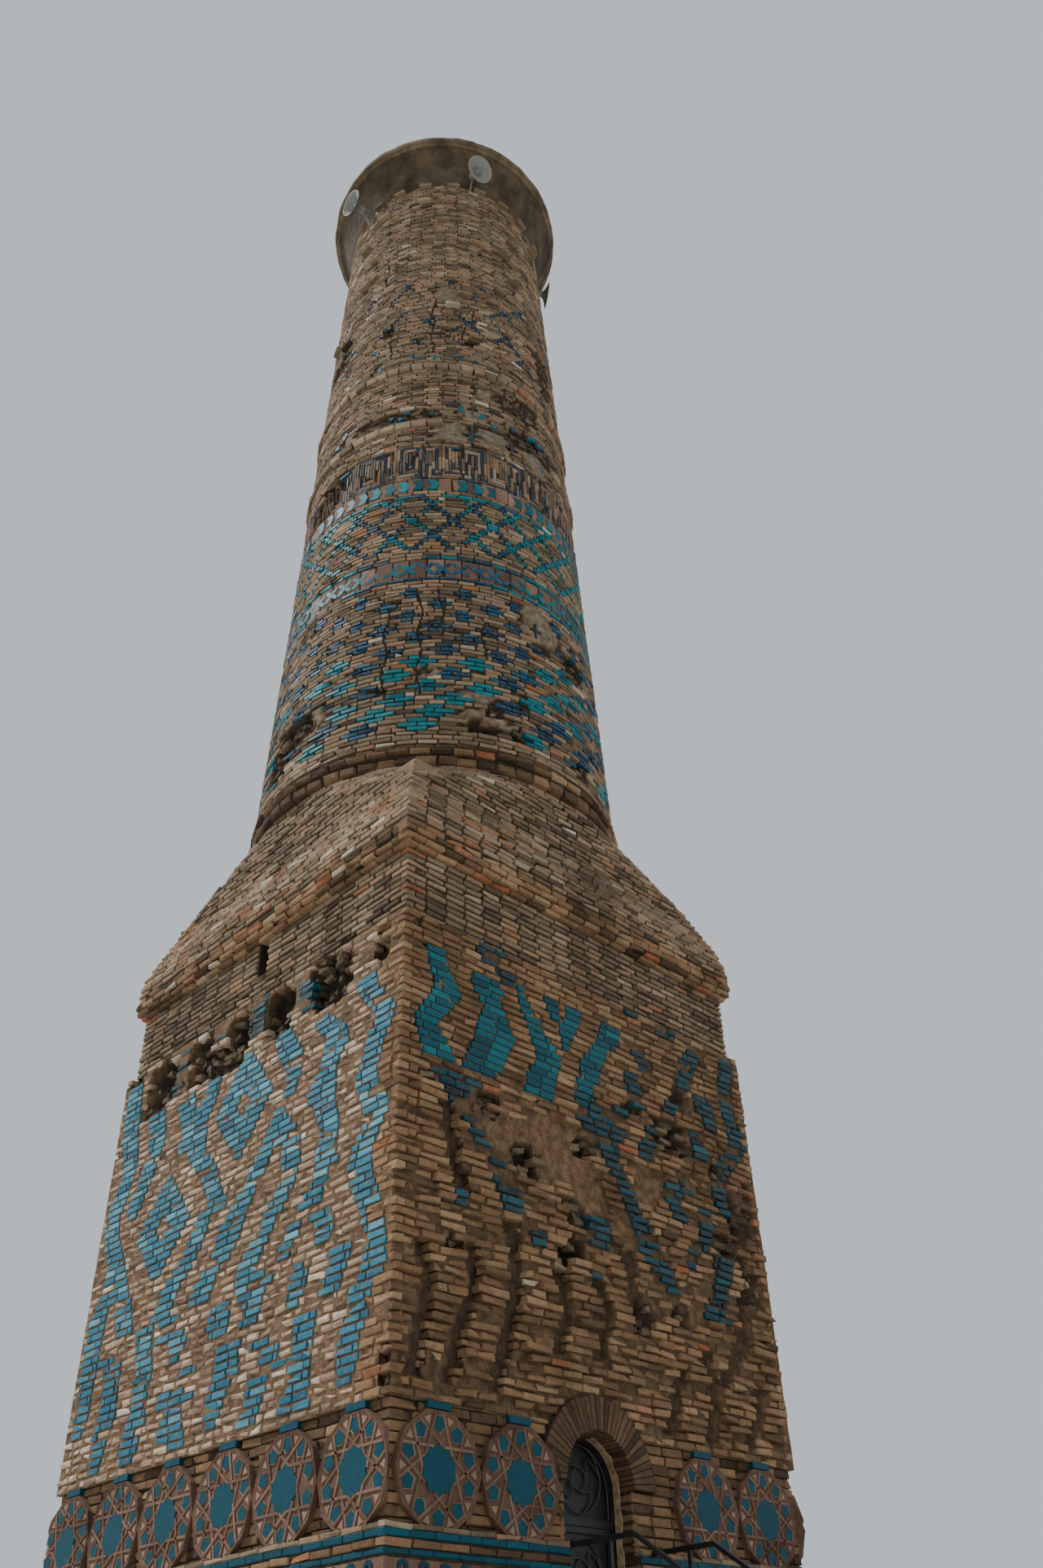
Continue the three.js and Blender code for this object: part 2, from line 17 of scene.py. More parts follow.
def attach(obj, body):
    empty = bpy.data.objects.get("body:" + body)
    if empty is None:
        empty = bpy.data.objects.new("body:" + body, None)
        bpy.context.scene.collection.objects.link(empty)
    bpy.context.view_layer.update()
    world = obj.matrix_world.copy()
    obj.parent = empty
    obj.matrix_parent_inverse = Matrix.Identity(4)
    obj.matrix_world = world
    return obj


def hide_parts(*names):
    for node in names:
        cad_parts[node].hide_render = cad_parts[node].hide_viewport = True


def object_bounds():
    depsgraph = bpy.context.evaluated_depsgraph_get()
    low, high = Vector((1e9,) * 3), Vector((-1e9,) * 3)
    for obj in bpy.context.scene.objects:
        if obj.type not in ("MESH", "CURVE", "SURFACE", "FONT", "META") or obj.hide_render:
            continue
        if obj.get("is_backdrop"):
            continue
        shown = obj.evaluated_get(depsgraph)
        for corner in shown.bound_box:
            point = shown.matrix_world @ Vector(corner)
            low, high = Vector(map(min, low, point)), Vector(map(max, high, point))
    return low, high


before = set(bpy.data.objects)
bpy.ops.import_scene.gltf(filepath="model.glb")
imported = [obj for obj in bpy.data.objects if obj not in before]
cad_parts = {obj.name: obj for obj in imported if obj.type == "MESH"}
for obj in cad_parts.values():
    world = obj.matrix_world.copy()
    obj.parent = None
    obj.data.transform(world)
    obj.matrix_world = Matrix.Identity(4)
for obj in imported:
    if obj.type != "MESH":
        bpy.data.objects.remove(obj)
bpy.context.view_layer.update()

# %% [markdown]
# ## Heights and widths
# The stages of the tower in metres, as in the solids. Keeping them as names lets every course, tile and
# curl be placed from them, and a stage can be moved in one line.

# %% Stages of the tower
PLINTH_TOP = 1.100
FLOOR = 2.000
BAND_TOP = 3.078
MEDALLION_TOP = 3.940
BODY_TOP = 8.200
NECK_TOP = 9.030
ROLL_TOP = 9.250
SLOPE_START = 9.500
RIDGE_END = 10.000
DRUM_TOP = 10.870
RING_SPLIT = 11.000
RINGS_TOP = 11.200
SHAFT_SPLIT = 17.670
LEDGE_HIGH = 19.050
SHAFT_TOP = 25.300

# Half widths of the square stages, then the radii of the round ones
PLINTH_HALF = 2.600
BAND_HALF = 2.500
MEDALLION_WALL_HALF = 2.430
BODY_HALF = 2.495
NECK_HALF = 2.405
ROLL_HALF = 2.500
SLOPE_HALF = 2.470
RIDGE_HALF = 2.262
DRUM_RADIUS = 2.234
RING_LOW_RADIUS = 2.297
RING_HIGH_RADIUS = 2.320
SHAFT_RADIUS_LOW = 2.328
SHAFT_RADIUS_TOP = 1.797
WELL = 1.050

DOOR_LEFT, DOOR_RIGHT = -0.655, 0.160
DOOR_RECESS = 2.262  # the door's frame starts here, inside the wall
ARCH_SPRING = 3.555
ARCH_RING = 0.270
ARCH_CENTRE = (DOOR_LEFT + DOOR_RIGHT) / 2
ARCH_INNER = (DOOR_RIGHT - DOOR_LEFT) / 2

# The direction each face looks in, as an angle round the axis
FACES = {"front": -math.pi / 2, "right": 0.0, "back": math.pi / 2, "left": math.pi}
FACE_ORDER = ("front", "right", "back", "left")
NEAR_CORNER = math.radians(-130.47)  # the side of the shaft that the camera sees


def shaft_radius(z):
    """Radius of the tapering shaft at a height."""
    share = (z - RINGS_TOP) / (SHAFT_TOP - RINGS_TOP)
    return SHAFT_RADIUS_LOW + (SHAFT_RADIUS_TOP - SHAFT_RADIUS_LOW) * share


def wave(x, y, z):
    """Smooth noise, between about -1 and 1, at a place in any units."""
    return noise.noise(Vector((x, y, z)))


# %% [markdown]
# ## Camera, light and floor
# The photograph looks up from near the ground at the corner between the left face and the front, with a
# lens of about 29 mm on a full frame and a slight roll. The camera is placed from its viewing angle, so
# the picture can be compared part by part. Light is soft: a broad sun from the left grazes the left face
# and leaves the front in open shade, as in the photograph, and a pale surround fills the rest.

# %% Camera
CAMERA_LENS = 29.389
CAMERA_AT = (-8.910, -10.441, 1.6)
CAMERA_TURN = (45.298, 38.230, -2.091)  # heading, upward tilt and roll in degrees

camera_data = bpy.data.cameras.new("camera")
camera_data.lens = CAMERA_LENS
camera_data.sensor_width = 36.0
camera_data.sensor_fit = "AUTO"
camera_data.clip_end = 300.0
camera = bpy.data.objects.new("camera", camera_data)
bpy.context.collection.objects.link(camera)
bpy.context.scene.camera = camera

yaw, pitch, roll = (math.radians(angle) for angle in CAMERA_TURN)
forward = Vector((math.sin(yaw) * math.cos(pitch), math.cos(yaw) * math.cos(pitch), math.sin(pitch)))
level_right = forward.cross(Vector((0, 0, 1))).normalized()
level_up = level_right.cross(forward)
right = math.cos(roll) * level_right + math.sin(roll) * level_up
up = math.cos(roll) * level_up - math.sin(roll) * level_right
turn = Matrix((right, up, -forward)).transposed().to_4x4()
camera.matrix_world = Matrix.Translation(CAMERA_AT) @ turn
print("camera at", tuple(round(v, 3) for v in camera.location))

# %% Light and floor
world = bpy.data.worlds.new("studio")
bpy.context.scene.world = world
world.use_nodes = True
surround = world.node_tree.nodes["Background"]
surround.inputs["Color"].default_value = (0.80, 0.86, 0.93, 1.0)
surround.inputs["Strength"].default_value = 0.78


def sun(name, azimuth, elevation, strength, softness):
    """A broad, distant lamp that shines from a direction given in degrees."""
    lamp_data = bpy.data.lights.new(name, "SUN")
    lamp_data.energy = strength
    lamp_data.angle = math.radians(softness)
    lamp = bpy.data.objects.new(name, lamp_data)
    bpy.context.collection.objects.link(lamp)
    a, e = math.radians(azimuth), math.radians(elevation)
    towards = Vector((math.cos(a) * math.cos(e), math.sin(a) * math.cos(e), math.sin(e)))
    lamp.rotation_euler = towards.to_track_quat("Z", "Y").to_euler()


sun("key", azimuth=134, elevation=52, strength=3.3, softness=9)
sun("fill", azimuth=-110, elevation=30, strength=0.25, softness=60)

FLOOR_REACH = 60
floor_mesh = bmesh.new()
bmesh.ops.create_grid(floor_mesh, x_segments=1, y_segments=1, size=FLOOR_REACH)
floor_data = bpy.data.meshes.new("floor")
floor_mesh.to_mesh(floor_data)
floor_mesh.free()
floor = bpy.data.objects.new("floor", floor_data)
bpy.context.collection.objects.link(floor)
floor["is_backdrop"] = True
print("lamps and floor of", 2 * FLOOR_REACH, "m")


# %% [markdown]
# ## Colours and nodes
# Colours are written as sRGB hex values and turned to linear by one function. One small function adds a
# node with its settings and links, so each material reads as a short list of what makes its surface. Two
# looks come back in several finishes: a colour that each copy picks for itself, and a mottled surface.

# %% Helpers for materials
def colour(code):
    """An sRGB hex value as linear RGBA."""
    values = [int(code[i:i + 2], 16) / 255 for i in (1, 3, 5)]
    return (*(v / 12.92 if v <= 0.04045 else ((v + 0.055) / 1.055) ** 2.4 for v in values), 1.0)


def grey(value):
    """A grey for masks and factors, already linear."""
    return (value, value, value, 1.0)


def shades(*stops):
    """Stops of a ramp, from places and sRGB hex values."""
    return [(place, colour(code)) for place, code in stops]


def add(material, kind, inputs, ramp=(), **settings):
    """Adds a ShaderNode of a kind, or takes one that is there; an input takes a value or a socket."""
    node = material.node_tree.nodes.new("ShaderNode" + kind) if isinstance(kind, str) else kind
    for name, value in settings.items():
        setattr(node, name, value)
    for number, (place, value) in enumerate(ramp):
        elements = node.color_ramp.elements
        element = elements[number] if number < len(elements) else elements.new(place)
        element.position = place
        element.color = value
    for name, value in inputs.items():
        if isinstance(value, bpy.types.NodeSocket):
            material.node_tree.links.new(value, node.inputs[name])
        else:
            node.inputs[name].default_value = value
    return node


def start(name):
    """A new material, with its shader and the object coordinates in metres."""
    material = bpy.data.materials.new(name)
    material.use_nodes = True
    shader = material.node_tree.nodes["Principled BSDF"]
    place = add(material, "TexCoord", {}).outputs["Object"]
    return material, shader, place


def by_tint(material, stops):
    """The colour that each copy picks from a ramp with its own number."""
    tint = add(material, "Attribute", {}, attribute_name="tint").outputs["Fac"]
    return add(material, "ValToRGB", {"Fac": tint}, ramp=stops).outputs["Color"]


def mottled(material, place, base, size, roughness, dark, pale):
    """A colour with darker and paler spots of a size in metres, and the spots themselves."""
    spots = add(material, "TexNoise", {"Vector": place, "Scale": 1 / size, "Detail": 4.0,
                                       "Roughness": roughness}).outputs["Fac"]
    light = add(material, "ValToRGB", {"Fac": spots}, ramp=((0.3, grey(dark)), (0.7, grey(pale))))
    mixed = add(material, "Mix", {0: 0.8, 6: base, 7: light.outputs["Color"]},
                data_type="RGBA", blend_type="MULTIPLY")
    return mixed.outputs[2], spots


# %% [markdown]
# ## Fired brick
# Old bricks from a clamp kiln differ in colour from one to the next, from brown and pinkish tan to buff
# and orange red, because the heat was uneven. One colour ramp, read with a random number that each brick
# carries, gives that. The worn front takes a redder ramp, partly earth and partly painted warm shade. The
# left face, and the hidden faces with it, take a paler ramp, partly clay bleached by the sun and partly
# painted sunlight. Over it lie stains about 0.7 m wide, mottling about 45 mm wide and grit of about 12 mm,
# drawn coarser than real sand so that it shows. Mapping the brick to a flat tile texture would repeat.

# %% Material: fired brick
def brick_material(name, stops, stain, rough):
    """Dry, gritty clay: a matt surface that looks different from brick to brick."""
    material, shader, place = start(name)
    base = by_tint(material, stops)
    spotted, _ = mottled(material, place, base, 0.045, 0.65, 0.68, 1.25)
    broad = add(material, "TexNoise", {"Vector": place, "Scale": 1 / 0.7, "Detail": 5.0,
                                       "Roughness": 0.6}).outputs["Fac"]
    where = add(material, "ValToRGB", {"Fac": broad}, ramp=((0.48, grey(0.0)), (0.70, grey(0.55))))
    stained = add(material, "Mix", {0: where.outputs["Color"], 6: spotted, 7: colour(stain)},
                  data_type="RGBA", blend_type="MULTIPLY").outputs[2]
    grit = add(material, "TexNoise", {"Vector": place, "Scale": 1 / 0.012, "Detail": 5.0,
                                      "Roughness": 0.7}).outputs["Fac"]
    bump = add(material, "Bump", {"Height": grit, "Strength": 0.7, "Distance": 0.006})
    add(material, shader, {"Base Color": stained, "Roughness": rough, "Specular IOR Level": 0.25,
                           "Normal": bump.outputs["Normal"]})
    return material


fired_brick = brick_material("fired_brick", shades(
    (0.0, "#3d3328"), (0.25, "#605240"), (0.5, "#806f58"), (0.62, "#93755b"), (0.72, "#9a8a70"),
    (0.82, "#8f5d3e"), (0.90, "#a19279"), (1.0, "#c8bca6")), "#73675a", 0.92)
# the redder ramp of the worn front: partly earth, partly painted warm shade; the lower walls, moulding, rings
# and door take it as well
earthy_and_shaded_brick = brick_material("fired_brick_under_earth_and_warm_shade", shades(
    (0.0, "#392d22"), (0.25, "#624d38"), (0.5, "#86684a"), (0.70, "#9b8060"), (0.80, "#97583a"),
    (0.90, "#a38d70"), (1.0, "#bbab90")), "#6a5842", 0.94)
# the paler ramp of the left and hidden faces: partly clay bleached by the sun, partly painted sunlight
bleached_and_sunlit_brick = brick_material("fired_brick_bleached_and_sunlit", shades(
    (0.0, "#645243"), (0.35, "#967d67"), (0.6, "#b49a82"), (0.8, "#cbb7a1"), (1.0, "#dacdba")),
    "#8c7d6b", 0.9)


# %% [markdown]
# ## Glaze on brick
# The glazed bricks are fired clay with a lead or alkali glaze: copper makes it turquoise and cobalt makes
# it dark blue. Glaze is glass, so it is smooth and takes a clear highlight, and it wears off in flakes
# that bare the clay. A worn-edge mask from noise mixes the clay back in, more on the old tiles.

# %% Material: glaze
def glaze_material(name, dark, middle, bright, worn, rough, body="#7d6a55"):
    """Coloured glass over clay, with flakes of a share worn lost and slow ripples of the kiln."""
    material, shader, place = start(name)
    base = by_tint(material, shades((0.0, dark), (0.5, middle), (1.0, bright)))
    clouded, _ = mottled(material, place, base, 0.05, 0.6, 0.7, 1.2)
    flake = add(material, "TexNoise", {"Vector": place, "Scale": 1 / 0.035, "Detail": 6.0,
                                       "Roughness": 0.7}).outputs["Fac"]
    bare = add(material, "ValToRGB", {"Fac": flake},
               ramp=((1 - worn - 0.06, grey(0.0)), (1 - worn, grey(1.0)))).outputs["Color"]
    finish = add(material, "Mix", {0: bare, 6: clouded, 7: colour(body)}, data_type="RGBA")
    sheen = add(material, "MapRange", {"Value": bare, "To Min": rough, "To Max": 0.9})
    ripple = add(material, "TexNoise", {"Vector": place, "Scale": 1 / 0.02, "Detail": 3.0})
    bump = add(material, "Bump", {"Height": ripple.outputs["Fac"], "Strength": 0.35, "Distance": 0.004})
    add(material, shader, {"Base Color": finish.outputs[2], "Roughness": sheen.outputs["Result"],
                           "Specular IOR Level": 0.2, "Normal": bump.outputs["Normal"]})
    return material


new_glaze = glaze_material("turquoise_glaze_restored", "#043a45", "#064f5a", "#126b74", 0.30, 0.45)
tile_glaze = glaze_material("turquoise_glaze_on_tile", "#023541", "#033f4c", "#055462", 0.22, 0.5, "#5d4a38")
old_glaze = glaze_material("turquoise_glaze_weathered", "#20556a", "#327083", "#65a4b2", 0.36, 0.55,
                           "#8a7560")
shaft_glaze = glaze_material("turquoise_glaze_of_the_shaft", "#05464f", "#0a646e", "#1c8187", 0.33, 0.58)
dark_glaze = glaze_material("turquoise_glaze_darkened", "#0b262d", "#103f4a", "#1f5f6b", 0.42, 0.52,
                            "#54453a")
blue_glaze = glaze_material("cobalt_glaze", "#081f2e", "#0d3b53", "#165a76", 0.40, 0.58, "#6a5a46")


# %% [markdown]
# ## Mortar, rubble, plaster, stone and concrete
# Behind the facing lies a core of broken brick in lime and earth mortar. Where the facing has fallen it
# shows brown and lumpy. These mineral surfaces share one recipe with their own colours and grain sizes:
# lumps, a finer speckle and a strong bump. Shapes still come from the mesh, the bump only adds the grain.
# The mortar also reads a number from the mesh: clean lime in sound joints is pale, and deep holes and the
# grooves are painted dark as shade. That number picks a factor for the colour, so a factor may be above one.

# %% Material: mortar and stone
def mineral_material(name, dark, middle, pale, lump, grain, height, factors=()):
    """A dry, cast or cut surface with lumps and grains of two sizes in metres."""
    material, shader, place = start(name)
    lumps = add(material, "TexNoise", {"Vector": place, "Scale": 1 / lump, "Detail": 6.0,
                                       "Roughness": 0.62}).outputs["Fac"]
    base = add(material, "ValToRGB", {"Fac": lumps},
               ramp=shades((0.32, dark), (0.5, middle), (0.7, pale))).outputs["Color"]
    if factors:
        base = add(material, "Mix", {0: 1.0, 6: base, 7: by_tint(material, factors)},
                   data_type="RGBA", blend_type="MULTIPLY").outputs[2]
    mixed, speckle = mottled(material, place, base, grain, 0.7, 0.65, 1.25)
    coarse = add(material, "Bump", {"Height": lumps, "Strength": 0.6, "Distance": height})
    fine = add(material, "Bump", {"Height": speckle, "Strength": 0.6, "Distance": height / 4,
                                  "Normal": coarse.outputs["Normal"]})
    add(material, shader, {"Base Color": mixed, "Roughness": 0.95, "Specular IOR Level": 0.2,
                           "Normal": fine.outputs["Normal"]})
    return material


# the factors: dark for bare solids and joints, pale for sound lime, brown for earth, near black at 1.0 as
# painted shade in deep holes
mortar = mineral_material("lime_mortar_and_rubble", "#4b4137", "#655a4b", "#7f7362", 0.09, 0.022, 0.02, (
    (0.0, (0.30, 0.26, 0.21, 1.0)), (0.3, (1.3, 1.3, 1.25, 1.0)), (0.45, (1.28, 0.98, 0.74, 1.0)),
    (0.65, (0.62, 0.50, 0.40, 1.0)), (1.0, grey(0.13))))
yellow_plaster = mineral_material("yellow_lime_plaster", "#75624a", "#988163", "#b49c7a", 0.06, 0.010, 0.01)
limestone = mineral_material("dressed_limestone", "#7d7361", "#978c77", "#aea48e", 0.30, 0.012, 0.01)
# the tint lifts the cap's rim 1.9 times paler than its underside: painted light
concrete = mineral_material("stained_concrete", "#362c20", "#4b4031", "#615440", 0.35, 0.014, 0.010,
                            ((0.0, grey(1.0)), (1.0, grey(1.9))))
terracotta = brick_material("cut_terracotta", shades(
    (0.0, "#403026"), (0.5, "#6d5344"), (1.0, "#957a64")), "#66513f", 0.9)


# %% [markdown]
# ## Iron and paint
# The door, its fanlight and the rails are black painted iron with a little rust where water stands, and
# the scrolls are drawn a greyer black all over. The horns are sheet metal with a chalky light grey paint.
# Paint is not metal, so metallic stays at zero.

# %% Material: painted metal
def paint_material(name, clean, dirt, rough, amount):
    """Even paint with a low sheen and patches of grime about 80 mm wide, which dull it."""
    material, shader, place = start(name)
    grime = add(material, "TexNoise", {"Vector": place, "Scale": 1 / 0.08, "Detail": 6.0,
                                       "Roughness": 0.65}).outputs["Fac"]
    mask = add(material, "ValToRGB", {"Fac": grime},
               ramp=((0.5, grey(0.0)), (0.75, grey(amount)))).outputs["Color"]
    mixed = add(material, "Mix", {0: mask, 6: colour(clean), 7: colour(dirt)}, data_type="RGBA")
    worn = add(material, "MapRange", {"Value": mask, "To Min": rough, "To Max": 0.85})
    bump = add(material, "Bump", {"Height": grime, "Strength": 0.3, "Distance": 0.001})
    add(material, shader, {"Base Color": mixed.outputs[2], "Roughness": worn.outputs["Result"],
                           "Normal": bump.outputs["Normal"]})
    return material


black_iron = paint_material("black_painted_iron", "#121212", "#281d15", 0.45, 0.6)
greyer_iron = paint_material("black_painted_iron_greyer", "#2c2b29", "#3d3027", 0.45, 0.5)
grey_paint = paint_material("weathered_grey_paint", "#77776f", "#4f493e", 0.55, 0.7)
pale_floor = paint_material("pale_floor", "#d8d6d1", "#cfccc6", 0.8, 0.4)
floor_data.materials.append(pale_floor)
print(len(bpy.data.materials), "materials")


# %% [markdown]
# ## A piece
# Each finished mesh becomes an object at the origin, with its place in the mesh, and is told which body
# carries it; it takes its material, and the solids that it stands for are hidden. A few steps that come
# back in many shapes are kept as helpers round the bmesh operators.

# %% Making a piece
def piece(name, mesh, material, body="tower", replaces=()):
    """Makes an object from mesh data and tells the frame what it is."""
    made = bpy.data.objects.new(name, mesh)
    bpy.context.collection.objects.link(made)
    mesh.materials.clear()
    mesh.materials.append(material)
    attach(made, body)
    if replaces:
        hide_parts(*replaces)
    mesh.calc_loop_triangles()
    print(f"{name}: {len(mesh.loop_triangles)} triangles")
    return made


def finished(shape, name):
    """Turns a bmesh into mesh data with its faces pointing outwards."""
    bmesh.ops.recalc_face_normals(shape, faces=shape.faces)
    mesh = bpy.data.meshes.new(name)
    shape.to_mesh(mesh)
    shape.free()
    return mesh


# %% Steps that come back
def only(kind, items):
    """The vertices, edges or faces among what an operator made."""
    return [item for item in items if isinstance(item, kind)]


def block(shape, middle, size, turned=Matrix.Identity(4), taper=1.0):
    """Adds a box: a unit cube, tapered at its far end, stretched, turned and put in its place."""
    made = bmesh.ops.create_cube(shape, size=1)["verts"]
    for vertex in made:
        if vertex.co.x > 0:
            vertex.co.z *= taper
    place = Matrix.Translation(middle) @ turned @ Matrix.Diagonal((*size, 1))
    bmesh.ops.transform(shape, matrix=place, verts=made)
    return made


def chain(shape, places):
    """Adds a line of vertices joined by edges, ready to be spun."""
    points = [shape.verts.new(place) for place in places]
    for a, b in zip(points, points[1:]):
        shape.edges.new((a, b))


def spun(shape, axis, steps, merge):
    """Spins everything a full turn about an axis through the origin and merges the seam and the poles."""
    bmesh.ops.spin(shape, geom=shape.verts[:] + shape.edges[:], cent=(0, 0, 0), axis=axis,
                   angle=2 * math.pi, steps=steps, use_merge=True)
    bmesh.ops.remove_doubles(shape, verts=shape.verts, dist=merge)


def join_to(target, part):
    """Moves all of one bmesh into another."""
    scratch = bpy.data.meshes.new("scratch")
    part.to_mesh(scratch)
    part.free()
    target.from_mesh(scratch)
    bpy.data.meshes.remove(scratch)


# %% [markdown]
# ## One brick, copied by arrays
# A hand-made brick is a box with softened front edges. It could be an instance, but joined copies can
# each be worn in their own way, and they export as one plain mesh. The shape is made once with bmesh. Each
# of its corners remembers the side it is on and how far the bevel moved it, so the brick can be made any
# length without stretching its rounded edges. numpy then copies it to thousands of places at once.

# %% The master brick
BEVEL = 0.007

brick_shape = bmesh.new()
bmesh.ops.create_cube(brick_shape, size=2)
front_edges = [edge for edge in brick_shape.edges if all(v.co.y < 0 for v in edge.verts)]
bmesh.ops.bevel(brick_shape, geom=front_edges, offset=BEVEL, offset_type="OFFSET", segments=1, profile=0.5,
                affect="EDGES", material=-1)
brick_shape.verts.index_update()
brick_places = np.array([v.co for v in brick_shape.verts])
brick_sides = np.sign(brick_places)
brick_rounding = brick_places - brick_sides
brick_faces = np.array([[v.index for v in face.verts] for face in brick_shape.faces])
brick_shape.free()
print("master brick:", len(brick_places), "corners,", len(brick_faces), "faces")


# %% Joining copies
def joined(name, places, corners, starts, tints, material, replaces=()):
    """One piece from copies of a mesh: where the corners of each copy lie, and how its faces use them."""
    count, per_copy = places.shape[:2]
    shift = np.arange(count)[:, None]
    mesh = bpy.data.meshes.new(name)
    mesh.vertices.add(count * per_copy)
    mesh.vertices.foreach_set("co", places.ravel())
    mesh.loops.add(count * len(corners))
    mesh.loops.foreach_set("vertex_index", (corners[None] + per_copy * shift).ravel())
    mesh.polygons.add(count * len(starts))
    mesh.polygons.foreach_set("loop_start", (starts[None] + len(corners) * shift).ravel())
    mesh.update(calc_edges=True)
    mesh.shade_flat()
    layer = mesh.attributes.new("tint", "FLOAT", "POINT")
    layer.data.foreach_set("value", np.repeat(tints, per_copy))
    return piece(name, mesh, material, replaces=replaces)


def scatter(name, master, matrices, material, middle=0.5, spread=0.2):
    """Joins a copy of a small mesh for each matrix."""
    at = np.array([vertex.co for vertex in master.vertices])
    turns = np.array(matrices)
    places = np.einsum("nij,vj->nvi", turns[:, :3, :3], at) + turns[:, None, :3, 3]
    corners = np.array([loop.vertex_index for loop in master.loops])
    starts = np.array([polygon.loop_start for polygon in master.polygons])
    tints = np.clip(np.random.default_rng(len(turns)).normal(middle, spread, len(turns)), 0.02, 0.98)
    return joined(name, places, corners, starts, tints, material)


# %% Laying bricks
CHIP = (0.008, 0.035)  # how much of a knocked-off corner is gone


def lay(name, rows, material, seed, ragged=0.003, skew=0.012, chips=0.35, soft=1.0, replaces=()):
    """One piece from rows of: side step, distance out, height, direction, length, height, depth, tint.

    ragged moves single corners, skew turns whole bricks, chips is the share of bricks with a knocked-off
    corner and soft widens the rounding of the front edges.
    """
    rng = np.random.default_rng(seed)
    rows = np.array(rows, dtype=float)
    count = len(rows)
    step, out, height, angle, length, tall, deep, tint = rows.T
    half = np.stack([length / 2, deep / 2, tall / 2], axis=1)
    local = brick_sides[None] * half[:, None] + brick_rounding[None] * soft
    local[:, :, 1] += deep[:, None] / 2
    local += rng.normal(0, ragged, local.shape)
    # a knocked-off corner draws the corners on one side of the front inwards
    broken = rng.random(count) < chips
    size = np.where(broken, rng.uniform(*CHIP, count), 0)
    side_x = rng.choice([-1.0, 1.0], count)
    side_z = rng.choice([-1.0, 1.0], count)
    hit = (brick_sides[None, :, 0] == side_x[:, None]) & (brick_sides[None, :, 2] == side_z[:, None])
    hit &= brick_sides[None, :, 1] < 0
    local[:, :, 0] -= hit * (side_x * size)[:, None]
    local[:, :, 1] += hit * size[:, None] * 0.6
    local[:, :, 2] -= hit * (side_z * np.minimum(size, tall / 4) * 0.5)[:, None]
    lean = rng.normal(0, skew, count)[:, None]
    swing = rng.normal(0, skew, count)[:, None]
    across = local[:, :, 0] - lean * local[:, :, 2]
    upward = local[:, :, 2] + lean * local[:, :, 0]
    inward = local[:, :, 1] + swing * local[:, :, 0]
    cos, sin = np.cos(angle)[:, None], np.sin(angle)[:, None]
    reach = out[:, None] - inward
    side = step[:, None] + across
    places = np.stack([cos * reach - sin * side, sin * reach + cos * side, height[:, None] + upward], axis=2)
    return joined(name, places, brick_faces.ravel(), np.arange(0, brick_faces.size, 4), tint, material,
                  replaces)


# %% [markdown]
# ## Bond: cutting a course into bricks
# A course runs between two ends. Glazed runs are cut out first, as wide as the pattern asks, and each is
# filled with whole or half bricks. Plain bricks fill what is left, and every second course starts with a
# half brick, so the upright joints are staggered as a mason would do it. Places along a course are metres
# on a flat face and degrees on the shaft, where the smallest sizes below hardly ever matter.

# %% Cutting a course
UNIT = 0.252        # a brick and its joint
JOINT = 0.018
WIDE_JOINT = 0.022
COURSE = 0.0747     # the height of a course on the body
DEEP = 0.105
CORNER_GAP = 0.004  # between the course that runs through at a corner and the one that stops there
LEAST_RUN = 0.03
LEAST_BRICK = 0.035
LEAST_GAP = 0.05    # a glazed run that starts closer than this to the last one is joined to it

dice = np.random.default_rng(7)


def tone(middle=0.5, spread=0.17):
    """A random tint near a middle value, kept within the ramp."""
    return float(np.clip(dice.normal(middle, spread), 0.02, 0.98))


def merged(runs):
    """Runs in order, those of a kind that touch made one, those that overlap cut back."""
    result = []
    for low, high, kind in sorted(runs):
        if result and low < result[-1][1]:
            if result[-1][2] == kind:
                result[-1][1] = max(result[-1][1], high)
                continue
            low = result[-1][1]
        if high - low > LEAST_RUN:
            result.append([low, high, kind])
    return result


def cut_course(low, high, runs, half_start, unit=UNIT, glazed_unit=None, uneven=0.035):
    """Bricks of a course, as (start, end, kind)."""
    bricks = []
    glazed_unit = glazed_unit or unit

    def fill(a, b, kind, stagger):
        if b - a < LEAST_BRICK:
            return
        size = unit if kind == "plain" else glazed_unit
        if stagger and b - a > 1.4 * size:
            share = size * dice.uniform(0.42, 0.58)
            bricks.append((a, a + share, kind))
            a += share
        number = max(1, round((b - a) / size))
        edges = np.linspace(a, b, number + 1)
        if number > 1 and kind == "plain":
            edges[1:-1] += dice.uniform(-uneven, uneven, number - 1) * size
        if kind != "plain" and 1.15 * size < b - a < 1.7 * size:
            edges = [a, a + size, b] if dice.random() < 0.5 else [a, b - size, b]
            number = 2
        bricks.extend((edges[i], edges[i + 1], kind) for i in range(number))

    cursor = low
    for a, b, kind in merged(runs):
        a, b = max(a, low), min(b, high)
        if b - a < LEAST_RUN:
            continue
        if kind == "groove":
            a, b = a + dice.normal(0, 0.02), b + dice.normal(0, 0.02)
        if a - cursor < LEAST_GAP:
            a = cursor
        fill(cursor, a, "plain", half_start)
        fill(a, b, kind, False)
        cursor = b
    fill(cursor, high, "plain", half_start and cursor == low)
    return bricks


# %% Courses of a face
def corner_ends(course, order, half):
    """On a corner the courses of two faces take turns to run through: (reach, starts with a half brick)."""
    through = (course + order) % 2 == 0
    return (half if through else half - DEEP - CORNER_GAP), not through


